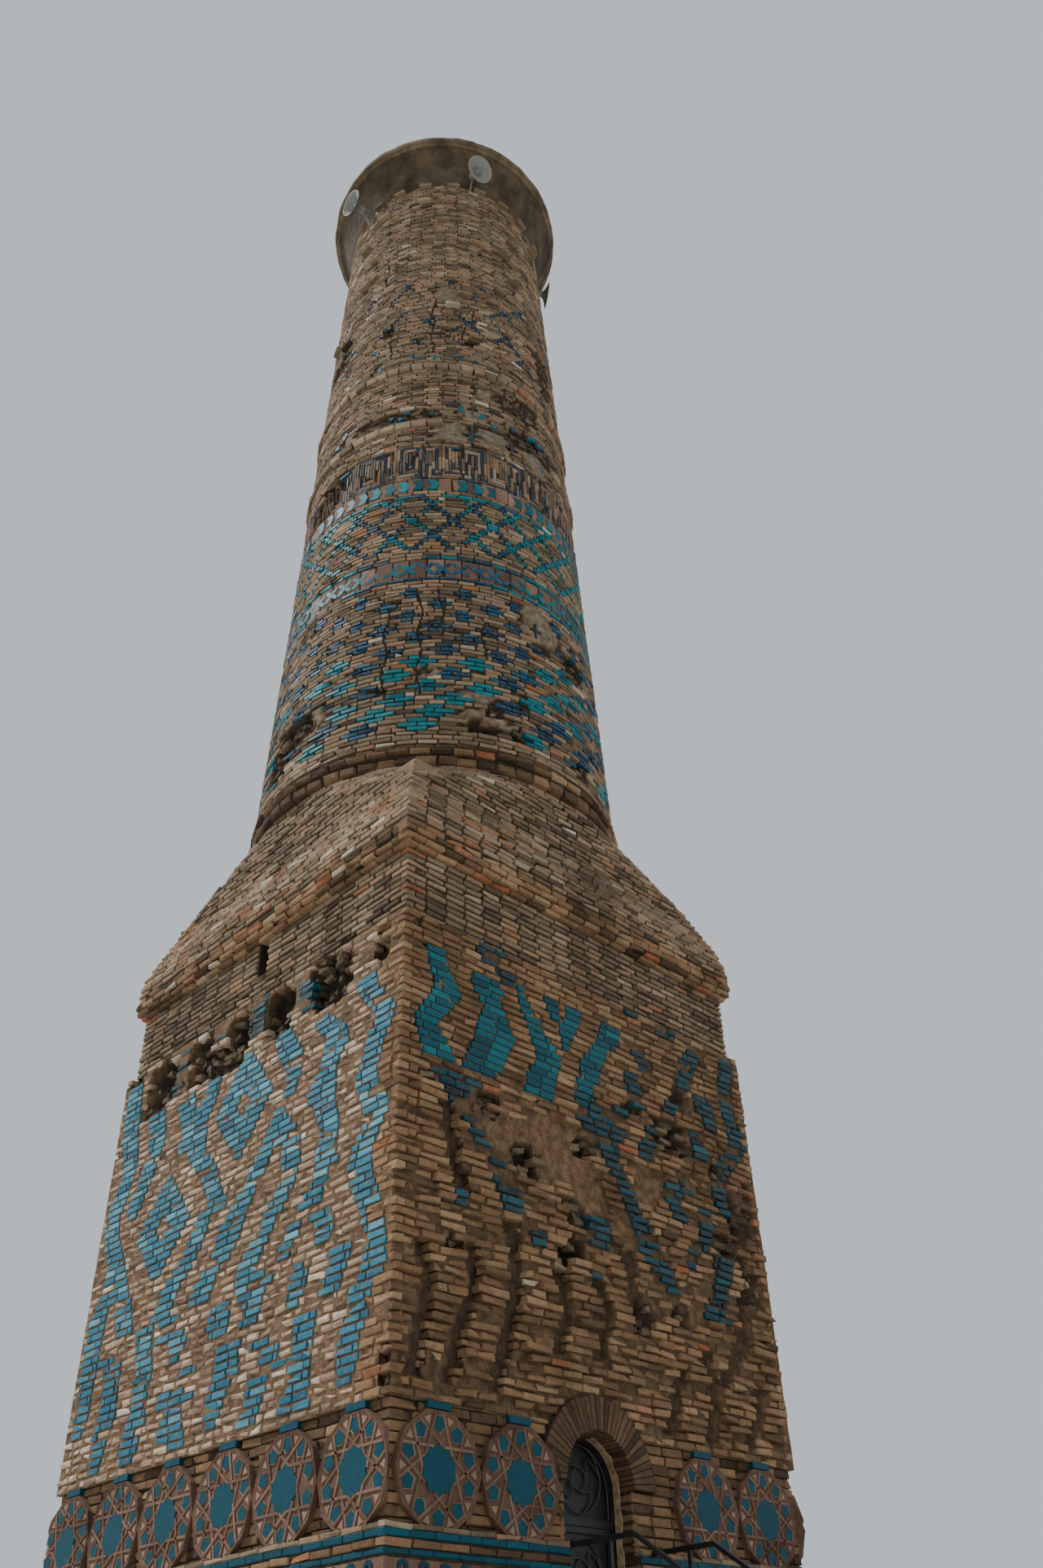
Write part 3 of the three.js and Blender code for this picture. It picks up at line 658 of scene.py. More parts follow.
def straight(rows, face, z, reach, out, tall, gap, runs=(), half_start=False, unit=UNIT, deep=DEEP,
             shade=(0.5, 0.16), rough=0.004, least=0.03, lost=0.0):
    """Adds the plain bricks of a face's course to the rows; shade is the tint's middle and spread."""
    for a, b, kind in cut_course(-reach, reach, runs, half_start, unit):
        length = b - a - gap
        if kind != "plain" or length < least or (lost and dice.random() < lost):
            continue
        stands = out + dice.normal(0, rough) if rough else out
        rows.append(((a + b) / 2, stands, z, FACES[face], length, tall, deep, tone(*shade)))


def stump(step, surface, gone, z, angle, length, tall, deep=DEEP):
    """The row of a broken brick that still stands in a hole of a depth."""
    out = surface - gone * dice.uniform(0.35, 0.8)
    size = length * dice.uniform(0.35, 0.8)
    return step, out, z, angle, size, tall * 0.95, deep, tone(0.25, 0.12)


# %% [markdown]
# ## The patterns on the square body
# On each face a mason set glazed bricks in bands that climb in zigzags, one step for each course. A band is
# kept as its outline: at a few heights, from the top down, where its left edge lies from the middle of the
# face and how wide it is, as (height, left, width, height, ...) in centimetres. The left face still has
# nearly all bands. On the front some were restored in bright turquoise, some are dark remains, and many
# are empty grooves. The hidden faces repeat the left one.

# %% Bands on the left face
OLD = (
    (804, -240, 31, 775, -238, 32, 750, -237, 33, 725, -229, 31, 702, -220, 27, 675, -233, 33, 650, -244, 30,
     625, -235, 30, 600, -220, 32, 578, -224, 48, 560, -233, 67),
    (560, -236, 31, 525, -242, 34, 500, -244, 36, 475, -240, 29, 452, -236, 25, 440, -233, 13),
    (560, -195, 33, 540, -188, 33, 522, -179, 31),
    (509, -210, 20, 503, -205, 25, 498, -196, 35, 475, -188, 28, 450, -190, 33, 440, -194, 33, 425, -196, 28,
     410, -192, 20, 398, -187, 12),
    (757, -185, 32, 725, -177, 36, 712, -172, 31, 700, -179, 33, 675, -185, 28, 660, -198, 32, 652, -198, 28,
     642, -190, 11),
    (752, -129, 37, 725, -114, 29, 712, -108, 30, 700, -105, 48, 690, -96, 38, 675, -86, 31, 650, -62, 33,
     625, -42, 26, 613, -40, 35, 605, -57, 52, 600, -60, 28, 590, -64, 29, 575, -72, 30, 560, -90, 35,
     550, -103, 35, 535, -108, 30, 522, -118, 35),
    (752, -64, 22, 725, -83, 35, 712, -88, 30, 702, -90, 32),
    (698, -112, 12, 685, -110, 10),
    (767, 45, 25, 750, 52, 32, 725, 65, 37, 710, 78, 24, 697, 74, 26, 690, 75, 20, 682, 76, 12),
    (676, 60, 18, 662, 54, 34, 648, 45, 61, 640, 38, 28, 625, 25, 33, 612, 23, 24, 604, 6, 35, 590, -5, 37,
     580, -18, 46, 566, -16, 39, 555, -29, 41, 547, -35, 30, 534, -53, 42, 520, -50, 32),
    (644, 82, 26, 625, 78, 32, 612, 84, 28, 600, 78, 28, 590, 73, 29, 580, 62, 31, 565, 56, 24, 554, 41, 30,
     543, 28, 32, 530, 23, 35, 519, 25, 61, 508, 34, 37, 497, 43, 27, 488, 38, 29, 480, 32, 24),
    (756, 112, 33, 745, 120, 22, 737, 123, 37, 725, 139, 30, 713, 134, 41, 700, 132, 30, 686, 121, 35,
     670, 110, 50, 662, 123, 33, 653, 128, 32, 632, 139, 28, 610, 132, 30, 600, 136, 33, 590, 132, 32,
     583, 128, 26, 573, 117, 28, 566, 110, 42),
    (560, 102, 20, 548, 93, 26, 538, 88, 20, 528, 86, 20),
    (560, 128, 32, 547, 139, 28, 530, 143, 26),
    (523, 160, 35, 508, 165, 28, 497, 156, 28, 480, 149, 31),
    (524, 114, 14, 515, 114, 14, 510, 108, 28, 493, 104, 28, 486, 110, 13),
    (513, -9, 30, 497, -16, 37, 487, -9, 28, 480, 2, 15),
    (764, 180, 30, 750, 186, 29, 737, 197, 31, 725, 206, 30, 715, 215, 29, 708, 206, 35, 700, 199, 31,
     686, 197, 28, 665, 186, 31, 653, 186, 35, 641, 197, 35, 630, 199, 37, 622, 210, 26, 612, 197, 31,
     600, 188, 31, 582, 180, 35, 566, 188, 32, 543, 202, 30, 530, 204, 32, 518, 215, 23, 506, 210, 31,
     490, 206, 35, 478, 190, 31, 465, 195, 31, 455, 186, 33, 442, 180, 30, 425, 182, 28, 412, 184, 18,
     406, 186, 12),
    (520, -141, 32, 505, -138, 28, 490, -134, 30, 480, -131, 31, 460, -131, 28, 445, -128, 25, 436, -135, 35,
     425, -140, 33, 408, -141, 32, 398, -140, 14),
    (522, -100, 40, 513, -100, 32),
    (507, -103, 50, 500, -103, 50),
    (498, -78, 32, 486, -74, 24, 478, -70, 12),
    (470, -55, 26, 460, -50, 30),
    (453, -83, 65, 440, -85, 60),
    (436, -68, 28, 424, -77, 39, 408, -81, 52, 398, -81, 52),
    (476, 5, 40, 465, 6, 35, 450, 6, 39, 440, 2, 28, 432, -7, 35, 422, -3, 27, 410, 2, 15, 402, 2, 12),
    (472, 58, 28, 464, 58, 28),
    (460, 75, 27, 447, 72, 28, 444, 92, 23, 438, 92, 23),
    (436, 60, 31, 420, 56, 28, 410, 49, 31, 398, 45, 27),
    (476, 121, 31, 450, 120, 29, 430, 116, 31, 415, 115, 34, 412, 106, 39, 398, 106, 50),
)
STUMPS = (
    (820, -133, 21, 790, -138, 22, 760, -146, 26),
    (818, -68, 26, 800, -66, 22),
    (820, 12, 20, 805, 0, 30, 772, 0, 26),
    (815, 78, 28, 780, 88, 28, 766, 96, 32),
    (820, 130, 22, 800, 130, 24),
)


def bands(kind, outlines):
    """Bands of a kind, with their levels as (height, left edge, right edge) in metres."""
    return [(kind, [(z / 100, left / 100, (left + width) / 100)
                    for z, left, width in zip(line[::3], line[1::3], line[2::3])]) for line in outlines]


# The stumps are what still stands between the holes under the neck
LEFT_BANDS = bands("old", OLD) + bands("weathered", STUMPS)
# Diamonds: (kind, middle, height, half width, half height, width of the line round the hollow)
LEFT_DIAMONDS = [("old", 0.05, 7.05, 0.50, 0.62, 0.38), ("old", -1.20, 6.15, 0.50, 0.57, 0.38)]

# %% Bands on the front
RESTORED = (
    (790, -222, 24, 775, -219, 23, 765, -217, 29, 755, -212, 30, 747, -212, 34, 738, -217, 32, 725, -225, 30,
     715, -231, 26, 708, -235, 28, 700, -231, 33, 692, -229, 37, 676, -220, 37),
    (780, -162, 32, 772, -166, 44, 762, -162, 33, 750, -148, 26, 738, -155, 39, 724, -159, 52, 715, -162, 46,
     700, -168, 46, 692, -172, 47, 676, -179, 39),
    (790, -105, 9, 772, -103, 15, 762, -100, 19, 755, -94, 24, 747, -92, 24, 738, -88, 31, 724, -81, 37,
     715, -82, 32, 708, -85, 32, 700, -95, 40, 685, -96, 37, 676, -100, 39),
    (788, -68, 22, 778, -64, 18, 770, -57, 11),
    (788, -37, 25, 778, -36, 21, 768, -43, 23, 760, -50, 26, 752, -44, 13, 736, -43, 7),
    (790, 17, 30, 772, 11, 32, 762, 6, 28, 748, -5, 25, 738, -16, 31, 730, -22, 28, 722, -17, 31,
     715, -24, 23, 700, -31, 28),
)
DARKENED = (
    (822, -150, 35, 808, -160, 35, 800, -150, 20),
    (796, -135, 30, 780, -120, 15),
    (674, -220, 30, 666, -214, 53, 654, -198, 30, 640, -190, 29, 630, -177, 37, 615, -162, 33, 602, -148, 23,
     592, -146, 34, 570, -130, 28, 558, -125, 25),
    (674, -186, 36, 666, -180, 28),
    (697, -30, 30, 684, -29, 44, 678, -25, 73, 670, -33, 78, 662, -3, 33, 645, 5, 25, 636, 12, 22,
     620, 25, 22, 605, 32, 26, 590, 41, 28, 575, 49, 31, 562, 48, 36, 550, 60, 35, 542, 75, 24, 526, 93, 19),
    (786, 51, 35, 772, 62, 20, 764, 67, 26, 750, 76, 17),
    (746, 49, 17, 730, 45, 31, 718, 48, 22, 708, 45, 39, 698, 23, 27, 686, 23, 22),
    (698, 74, 16, 680, 72, 21, 668, 62, 26, 652, 58, 22),
    (822, 58, 22, 810, 54, 20),
    (827, 114, 22, 818, 106, 34, 805, 106, 30),
    (816, 166, 24, 804, 160, 33, 798, 154, 26, 786, 140, 31, 770, 135, 27, 755, 126, 29, 740, 122, 20,
     727, 110, 22, 712, 97, 22),
    (756, 160, 30, 735, 160, 33, 722, 174, 23, 712, 172, 18),
    (708, 145, 15, 692, 150, 20, 678, 150, 30),
    (820, 217, 24, 810, 215, 23, 790, 210, 26, 770, 204, 26, 750, 205, 25, 735, 210, 28, 722, 215, 30,
     706, 212, 33, 696, 202, 32, 680, 184, 31, 670, 170, 36, 654, 175, 22, 642, 175, 20, 628, 184, 21),
    (654, 115, 21, 644, 120, 32, 636, 97, 43, 626, 84, 31, 616, 100, 25, 604, 106, 24),
    (626, 145, 24, 608, 147, 22, 594, 145, 20, 584, 128, 32, 576, 119, 26, 566, 119, 17, 556, 118, 14),
    (586, 173, 24, 572, 162, 31, 560, 166, 24, 550, 158, 22, 535, 150, 28, 524, 141, 32, 516, 138, 46),
    (618, 210, 24, 604, 214, 24),
    (575, 230, 16, 555, 226, 20),
    (582, -20, 32, 566, -20, 30, 550, -20, 28),
    (532, -24, 21, 522, -20, 15),
    (550, -98, 21, 538, -94, 18),
    (564, -185, 17, 552, -182, 16),
)
GROOVES = (
    (640, -206, 16, 613, -198, 16, 587, -190, 16, 562, -182, 16),
    (550, -127, 18, 526, -121, 16, 500, -123, 18, 465, -128, 17, 439, -140, 17, 410, -150, 16),
    (520, -172, 15, 490, -168, 14, 465, -180, 16, 447, -187, 15, 410, -199, 15),
    (555, 21, 19, 530, 28, 19, 505, 34, 18, 480, 40, 16),
    (485, 127, 16, 460, 136, 15, 439, 138, 15, 405, 118, 16),
    (590, 210, 18, 552, 203, 18, 520, 195, 17, 500, 188, 17, 480, 170, 18, 456, 152, 16),
    (460, 95, 15, 447, 86, 16, 426, 73, 16, 405, 65, 15),
    (460, 212, 15, 439, 200, 15, 405, 180, 15),
    (520, -66, 16, 485, -60, 15, 450, -74, 16),
    (515, -228, 14, 480, -218, 14, 440, -230, 16, 410, -238, 16),
    (520, -16, 14, 495, -5, 15, 470, -15, 15, 452, -20, 14),
)
FRONT_BANDS = bands("new", RESTORED) + bands("weathered", DARKENED) + bands("groove", GROOVES)
PATTERN = {face: (LEFT_BANDS, LEFT_DIAMONDS) for face in ("left", "back", "right")}
PATTERN["front"] = (FRONT_BANDS, [])
print(len(LEFT_BANDS), "bands on the left face,", len(FRONT_BANDS), "on the front")


# %% Where a band or the door crosses a course
LEAST_DIAMOND = 0.04


def band_runs(outlines, diamonds, z):
    """Runs that the pattern cuts out of the course at a height."""
    runs = []
    for kind, outline in outlines:
        for (top, left_top, right_top), (foot, left_foot, right_foot) in zip(outline, outline[1:]):
            if foot <= z <= top:
                share = (z - foot) / (top - foot)
                runs.append((left_foot + (left_top - left_foot) * share,
                             right_foot + (right_top - right_foot) * share, kind))
                break
    for kind, middle, height, half_width, half_height, line in diamonds:
        reach = half_width * (1 - abs(z - height) / half_height)
        if reach <= LEAST_DIAMOND:
            continue
        hollow = reach - line
        if hollow < LEAST_DIAMOND:
            runs.append((middle - reach, middle + reach, kind))
        else:
            runs.append((middle - reach, middle - hollow, kind))
            runs.append((middle + hollow, middle + reach, kind))
    return runs


known = {}


def runs_at(face, z):
    """The runs of a face at a height, worked out once."""
    key = (face, round(z, 4))
    if key not in known:
        known[key] = band_runs(*PATTERN[face], z)
    return known[key]


def door_runs(face, z):
    """What the doorway, and over it the ring of bricks on end, take out of a course."""
    if face != "front":
        return []
    if z < ARCH_SPRING:
        return [(DOOR_LEFT, DOOR_RIGHT, "door")]
    chord = math.sqrt(max(0.0, (ARCH_INNER + ARCH_RING) ** 2 - (z - ARCH_SPRING) ** 2))
    return [(ARCH_CENTRE - chord, ARCH_CENTRE + chord, "door")]


# %% [markdown]
# ## Lost facing
# Weather, salt and old repairs have opened the skin. Each loss is an ellipse on a face with a ragged edge
# from noise: (middle, height, half width, half height, depth) in centimetres, but on the shaft the middle is
# in degrees from the near side. The same list thins the facing bricks and hollows the core behind them, so
# the holes are real. Cement fills the shaft in patches, and there the depth is only a mark.

# %% Where the facing is gone
ARC = 2.1  # metres of arc for a radian, a round figure used for the whole shaft

LOST = {
    "left": [
        (-166, 786, 30, 36, 16), (-90, 786, 24, 34, 15), (-54, 774, 22, 20, 13), (-21, 784, 23, 32, 16),
        (53, 786, 25, 30, 16), (142, 787, 32, 34, 16), (112, 798, 10, 20, 10), (218, 790, 10, 20, 12),
        (-228, 816, 22, 10, 12), (244, 410, 10, 20, 10), (-195, 762, 12, 10, 8),
    ],
    "front": [
        (-98, 610, 18, 16, 17), (-45, 540, 17, 18, 18), (-14, 646, 16, 10, 16), (-145, 655, 14, 10, 14),
        (116, 690, 32, 18, 16), (138, 740, 15, 16, 12), (-225, 802, 10, 14, 8), (218, 622, 18, 28, 12),
        (242, 640, 10, 32, 9), (56, 702, 14, 10, 10), (190, 595, 20, 14, 12), (-35, 580, 20, 12, 10),
        (228, 555, 12, 20, 12), (55, 498, 14, 12, 12), (-190, 518, 10, 8, 10), (185, 670, 12, 10, 8),
        (-220, 655, 10, 8, 8), (110, 512, 16, 10, 10),
    ],
    "front_earth": [
        (-50, 634, 52, 36, 8.5), (-125, 630, 26, 18, 7.5), (-18, 602, 24, 24, 8), (74, 630, 32, 20, 8),
        (130, 515, 22, 12, 6), (30, 575, 13, 20, 8),
    ],
    "right": [
        (-120, 785, 35, 22, 12), (40, 795, 45, 18, 12), (170, 640, 25, 25, 10),
    ],
    "back": [
        (-160, 790, 40, 20, 12), (90, 780, 35, 26, 13), (-30, 520, 22, 22, 10),
    ],
    "shaft_cement": [
        (37, 1363, 32, 33, 100), (2, 2131, 27, 28, 100), (3.6, 1740, 29, 28, 100), (20.6, 1740, 29, 28, 100),
        (43.5, 1738, 27, 27, 100), (14, 1168, 26, 16, 100), (-4, 1240, 18, 9, 100), (12, 1200, 20, 10, 100),
        (-44, 1202, 24, 22, 100), (-38, 1790, 30, 11, 100), (-12, 1788, 34, 12, 100),
        (13, 1792, 30, 13, 100), (36, 1795, 30, 15, 100), (20, 1852, 22, 20, 100), (34, 1872, 26, 18, 100),
        (45, 1840, 22, 22, 100), (-22, 1945, 34, 8, 100), (18, 1945, 36, 8, 100), (60, 1990, 20, 50, 100),
        (-50, 1695, 20, 18, 100), (150, 1620, 40, 30, 100),
    ],
    "shaft": [
        (-52, 1200, 42, 26, 11), (-59, 1175, 22, 30, 10), (13, 1150, 28, 12, 14), (25, 1155, 16, 14, 10),
        (-4, 1240, 12, 7, 8), (13, 1242, 10, 6, 8), (-17, 1213, 12, 7, 9), (26, 1212, 11, 14, 9),
        (17, 1180, 10, 10, 9), (50, 1150, 14, 18, 10), (53, 1330, 20, 28, 10), (37, 1322, 16, 8, 8),
        (-52, 1670, 40, 46, 10), (42, 1785, 52, 22, 8), (-20, 1790, 80, 16, 5), (12, 1990, 16, 13, 11),
        (-27, 2035, 8, 20, 7), (-62, 2055, 35, 35, 7), (35, 1862, 55, 36, 5), (58, 2040, 30, 80, 5),
        (-33, 2390, 7, 8, 12), (140, 1400, 40, 40, 9), (-150, 1850, 50, 40, 8),
    ],
}
for face, losses in LOST.items():
    LOST[face] = [(math.radians(middle) * ARC if "shaft" in face else middle / 100,
                   *(value / 100 for value in rest)) for middle, *rest in losses]
RAGGED = {"front": 1.25}  # how far noise moves the edge of a loss; the other lists take 0.75


def lost_depth(face, u, z):
    """How deep the facing is gone at a point, 0 where it stands."""
    depth = 0.0
    for middle, height, half_width, half_height, deep in LOST[face]:
        across, along = (u - middle) / half_width, (z - height) / half_height
        if abs(across) > 1.5 or abs(along) > 1.5:
            continue
        reach = abs(across) ** 2.6 + abs(along) ** 2.6
        reach += RAGGED.get(face, 0.75) * wave(u * 6, z * 8, len(face) * 3.0)
        if reach < 1:
            depth = max(depth, deep * min(1.0, 2.2 * (1 - reach)))
    return depth


print(sum(len(v) for v in LOST.values()), "losses")

# %% [markdown]
# ## The core behind the facing
# The core is a closed tube: a rough outer skin, a top, the wall of the stair well and a bottom. It starts
# as a ring that is extruded from level to level, and each corner is then moved to its place, a little
# behind the brick faces, or deep where bricks are lost. Displacing a ready cylinder would need a second
# modifier for each loss; moving the corners while extruding keeps it to one pass.


# %% Rough core tubes
CELL = 0.05     # how far apart the levels of the body's core are
PER_FACE = 100
# DEEP_HOLE picks the darkest mortar, painted shade at the back of a hole
SOUND, DEEP_HOLE, INNER_WALL = 0.3, 1.0, 0.6  # what the mortar's colour is picked with


def levels(low, high, step):
    """Heights a step apart, from one to the other."""
    return np.linspace(low, high, round((high - low) / step) + 1)


def core(name, count, heights, outer, inner, replaces):
    """outer(column, z) and inner(column, z) give a place on the two skins and its mortar colour number: wear,
    and painted shade in holes.
    """
    shape = bmesh.new()
    column = shape.verts.layers.int.new("column")
    tint = shape.verts.layers.float.new("tint")
    bmesh.ops.create_circle(shape, segments=count, radius=1)
    for index, vertex in enumerate(shape.verts):
        vertex[column] = index
        vertex.co, vertex[tint] = outer(index, heights[0])
    path = [(z, outer) for z in heights[1:]]
    path += [(heights[-1], inner), (heights[0], inner), (heights[0], outer)]
    edges = list(shape.edges)
    for z, where in path:
        grown = bmesh.ops.extrude_edge_only(shape, edges=edges)["geom"]
        edges = only(bmesh.types.BMEdge, grown)
        for vertex in only(bmesh.types.BMVert, grown):
            vertex.co, vertex[tint] = where(vertex[column], z)
    bmesh.ops.remove_doubles(shape, verts=shape.verts, dist=1e-5)
    return piece(name, finished(shape, name), mortar, replaces=replaces)


def square_place(index, z, half, inset):
    """A place on a square outline, drawn in towards the axis."""
    face = FACE_ORDER[index // PER_FACE]
    angle = FACES[face]
    u = -half + (index % PER_FACE) * 2 * half / PER_FACE
    share = 1 - inset / half
    x = (math.cos(angle) * half - math.sin(angle) * u) * share
    y = (math.sin(angle) * half + math.cos(angle) * u) * share
    return face, u, Vector((x, y, z))


def front_wear(u, z):
    """How far the eroded front has weathered back: much at the bottom, little near the neck."""
    share = min(1.0, max(0.0, (7.4 - z) / 1.2))
    return share * (0.008 + 0.045 * max(0.0, wave(u * 2.3, z * 2.6, 8.0) + 0.15))


def body_skin(index, z):
    """The place of the core's skin and its mortar colour number: earth and wear, and painted shade in holes
    and grooves.
    """
    face, u, place = square_place(index, z, BODY_HALF, 0)
    front = face == "front"
    inset = (0.026 + front_wear(u, z) if front else 0.010) + 0.005 * noise.noise(place * 9)
    worn = 0.61 if front else 0.52
    gone = lost_depth(face, u, z)
    if gone > 0:
        inset = max(inset, gone + 0.02 * noise.noise(place * 14))
    if front:
        earth = lost_depth("front_earth", u, z)
        if earth > 0.01:
            inset = max(inset, earth + 0.022 * noise.noise(place * 4.5))
            worn = 0.50
        kinds = [kind for low, high, kind in runs_at(face, z) if low < u < high]
        # a groove is hollowed 60 mm more and its mortar painted dark, as shade
        if "groove" in kinds:
            inset, worn = inset + 0.060, 0.76
        if "new" in kinds:
            inset, worn = 0.014, SOUND
    # the deeper a hole, the darker its mortar is painted, as shade
    if gone > 0.04:
        worn = max(worn, min(DEEP_HOLE, 0.6 + gone * 2.6))
    return square_place(index, z, BODY_HALF, inset)[2], worn


def body_well(index, z):
    return square_place(index, z, WELL, 0)[2], INNER_WALL


core("core_body", 4 * PER_FACE, levels(MEDALLION_TOP, BODY_TOP, CELL), body_skin, body_well,
     ("body_front", "body_back", "body_left", "body_right"))

# %% [markdown]
# ## Laying the square body
# Fifty-seven courses climb from the medallions to the neck. On each corner the courses of the two faces
# take turns to run through. The left face is sound: short worn bricks in pale mortar, with crisp glazed
# ones between. The front is eroded, so its bricks stand forward and back in patches and many are gone.

# %% Body courses
BODY_COURSES = 57
SHORT_UNIT, FRONT_UNIT, GLAZED_UNIT = 0.19, 0.235, 0.22
THIN_JOINT = 0.015      # between restored bricks
LEAST_LENGTH = 0.03     # a shorter piece of brick is left out
LEAST_LOSS = 0.03       # a shallower loss leaves its bricks in place
CORNER_REACH = 0.3      # bricks this near the corner to the front take its colour, not the paler, partly painted-sunlit one
STUBS_LEFT = {"front": 0.85}  # how many lost bricks leave a stub; the other faces keep half

body_bricks = {kind: [] for kind in ("plain", "worn", "old", "new", "weathered", "rubble")}


def set_brick(face, a, b, z, kind):
    """Puts one brick of the body in its store, unless its place is lost."""
    middle, length = (a + b) / 2, b - a - JOINT
    if length < LEAST_LENGTH:
        return
    angle, front, usual = FACES[face], face == "front", COURSE - JOINT

    def put(store, out, height, long, tall, tint):
        body_bricks[store].append((middle, out, height, angle, long, tall, DEEP, tint))

    gone = lost_depth(face, middle, z)
    if gone > LEAST_LOSS:
        if dice.random() < STUBS_LEFT.get(face, 0.5):
            body_bricks["rubble"].append(stump(middle, BODY_HALF, gone, z, angle, length, usual))
        return
    if kind == "groove" or (front and lost_depth("front_earth", middle, z) > 0.02):
        return
    wear = front_wear(middle, z) if front else 0
    if kind == "old" and dice.random() < 0.96:
        # below 6.2 m the old glaze is drawn darker the lower it lies, so the upper glaze is paler: painted
        # glare
        glare_fade = 0.52 - 0.12 * max(0.0, 6.2 - z)
        put("old", BODY_HALF + 0.004 + dice.normal(0, 0.002), z, length, 0.054, tone(glare_fade, 0.2))
    elif kind == "new":
        put("new", BODY_HALF + 0.002, z, b - a - THIN_JOINT, COURSE - THIN_JOINT, tone(0.5, 0.22))
    elif kind == "weathered":
        if dice.random() < 0.8:
            put("weathered", BODY_HALF - wear * 0.6 + dice.normal(0, 0.006), z, length, 0.055, tone())
    elif not front:
        out = BODY_HALF + 0.002 + dice.normal(0, 0.005)
        edge = BODY_HALF - CORNER_REACH
        if (face == "left" and b > edge) or (face == "right" and a < -edge):
            put("plain", out, z, length, usual, tone(0.56, 0.12))
        else:
            put("worn", out, z + dice.normal(0, 0.003), length * dice.uniform(0.85, 1.02),
                dice.uniform(0.046, 0.060), tone(0.50, 0.20))
    elif wear <= 0.012 or dice.random() >= 0.04:
        ragged = 0.014 * min(1.0, max(0.0, (6.9 - z) / 1.5))
        put("plain", BODY_HALF - wear + dice.normal(0, 0.005 + ragged + wear * 0.22), z, length,
            usual - dice.uniform(0, 0.008), tone(0.47, 0.14))


for course in range(BODY_COURSES):
    z = MEDALLION_TOP + COURSE * (course + 0.5)
    for order, face in enumerate(FACE_ORDER):
        reach, half_start = corner_ends(course, order, BODY_HALF)
        unit, uneven = (FRONT_UNIT, 0.10) if face == "front" else (SHORT_UNIT, 0.22)
        for a, b, kind in cut_course(-reach, reach, runs_at(face, z) + door_runs(face, z), half_start, unit,
                                     GLAZED_UNIT, uneven):
            if kind != "door":
                set_brick(face, a, b, z, kind)

# the front's bricks take the redder ramp, partly earth and partly painted warm shade
lay("bricks_body_front", body_bricks["plain"], earthy_and_shaded_brick, 11, ragged=0.005, skew=0.02, chips=0.6)
# the left and hidden faces take the paler ramp, partly sun-bleached clay and partly painted sunlight
lay("bricks_body_worn_and_sunlit", body_bricks["worn"], bleached_and_sunlit_brick, 16, ragged=0.004, skew=0.03, soft=2.2)
lay("bricks_body_rubble", body_bricks["rubble"], fired_brick, 12, ragged=0.008, skew=0.12)
lay("glazed_body_old", body_bricks["old"], old_glaze, 13, ragged=0.002, chips=0.25,
    soft=0.6)
lay("glazed_body_darkened", body_bricks["weathered"], dark_glaze, 14, ragged=0.004)
lay("glazed_body_restored", body_bricks["new"], new_glaze, 15, ragged=0.001, skew=0.004,
    chips=0.05, soft=0.5)

# %% [markdown]
# ## Lower walls, neck and base
# These walls still have their facing, so the CAD solids stay as the mortar, and bricks stand 22 mm proud of
# them. The base below the door sill was not in the photograph and is plain brick.

# %% Courses on the solid walls
PROUD = 0.022
SLIT_HALF, SLIT_SILL = 0.085, 8.56


def plain_wall(store, half, z_low, z_high, tall, blocked=None, middle=0.5, joint=JOINT):
    """Courses between two heights on all four faces; blocked(face, z) gives runs to leave out."""
    number = round((z_high - z_low) / tall)
    tall = (z_high - z_low) / number
    for course in range(number):
        z = z_low + tall * (course + 0.5)
        for order, face in enumerate(FACE_ORDER):
            reach, half_start = corner_ends(course, order, half + PROUD)
            straight(store, face, z, reach, half + PROUD, tall - joint, joint,
                     blocked(face, z) if blocked else (), half_start, shade=(middle, 0.16))


def slit_run(face, z):
    return [(-SLIT_HALF, SLIT_HALF, "slit")] if face == "left" and z > SLIT_SILL else []


wall_bricks, neck_bricks = [], []
plain_wall(wall_bricks, BAND_HALF, PLINTH_TOP, FLOOR, 0.075)
plain_wall(wall_bricks, BAND_HALF, FLOOR, 2.66, 0.0735, door_runs)
plain_wall(wall_bricks, BAND_HALF, 2.962, 3.026, 0.064, door_runs, 0.36)
# the recessed wall between the medallions is drawn darker, tone 0.30: painted shade
plain_wall(wall_bricks, MEDALLION_WALL_HALF, BAND_TOP, MEDALLION_TOP, 0.0784, door_runs, 0.30, 0.012)
lay("bricks_lower_walls", wall_bricks, earthy_and_shaded_brick, 21)
plain_wall(neck_bricks, NECK_HALF, BODY_TOP, NECK_TOP - 0.070, 0.0692, slit_run, 0.46, WIDE_JOINT)
lay("bricks_neck", neck_bricks, fired_brick, 22)

# %% [markdown]
# ## Roll moulding and slope
# A moulding of bricks set on end marks the top of the neck. Above it the courses step back, first as a
# square, then with corners that round off until the section is a circle. Straight runs are laid face by
# face; where the corners are round, the outline is walked and a brick is dropped at every brick length.

# %% Walking an outline
STEPS = 720


def corner_outline(angle, half, corner):
    """Distance from the axis to a square with rounded corners."""
    across, along = abs(math.cos(angle)), abs(math.sin(angle))
    wide, narrow = max(across, along), min(across, along)
    flat = half / wide
    if flat * narrow <= half - corner:
        return flat
    centre = half - corner
    middle = centre * (wide + narrow)
    return middle + math.sqrt(middle * middle - 2 * centre * centre + corner * corner)


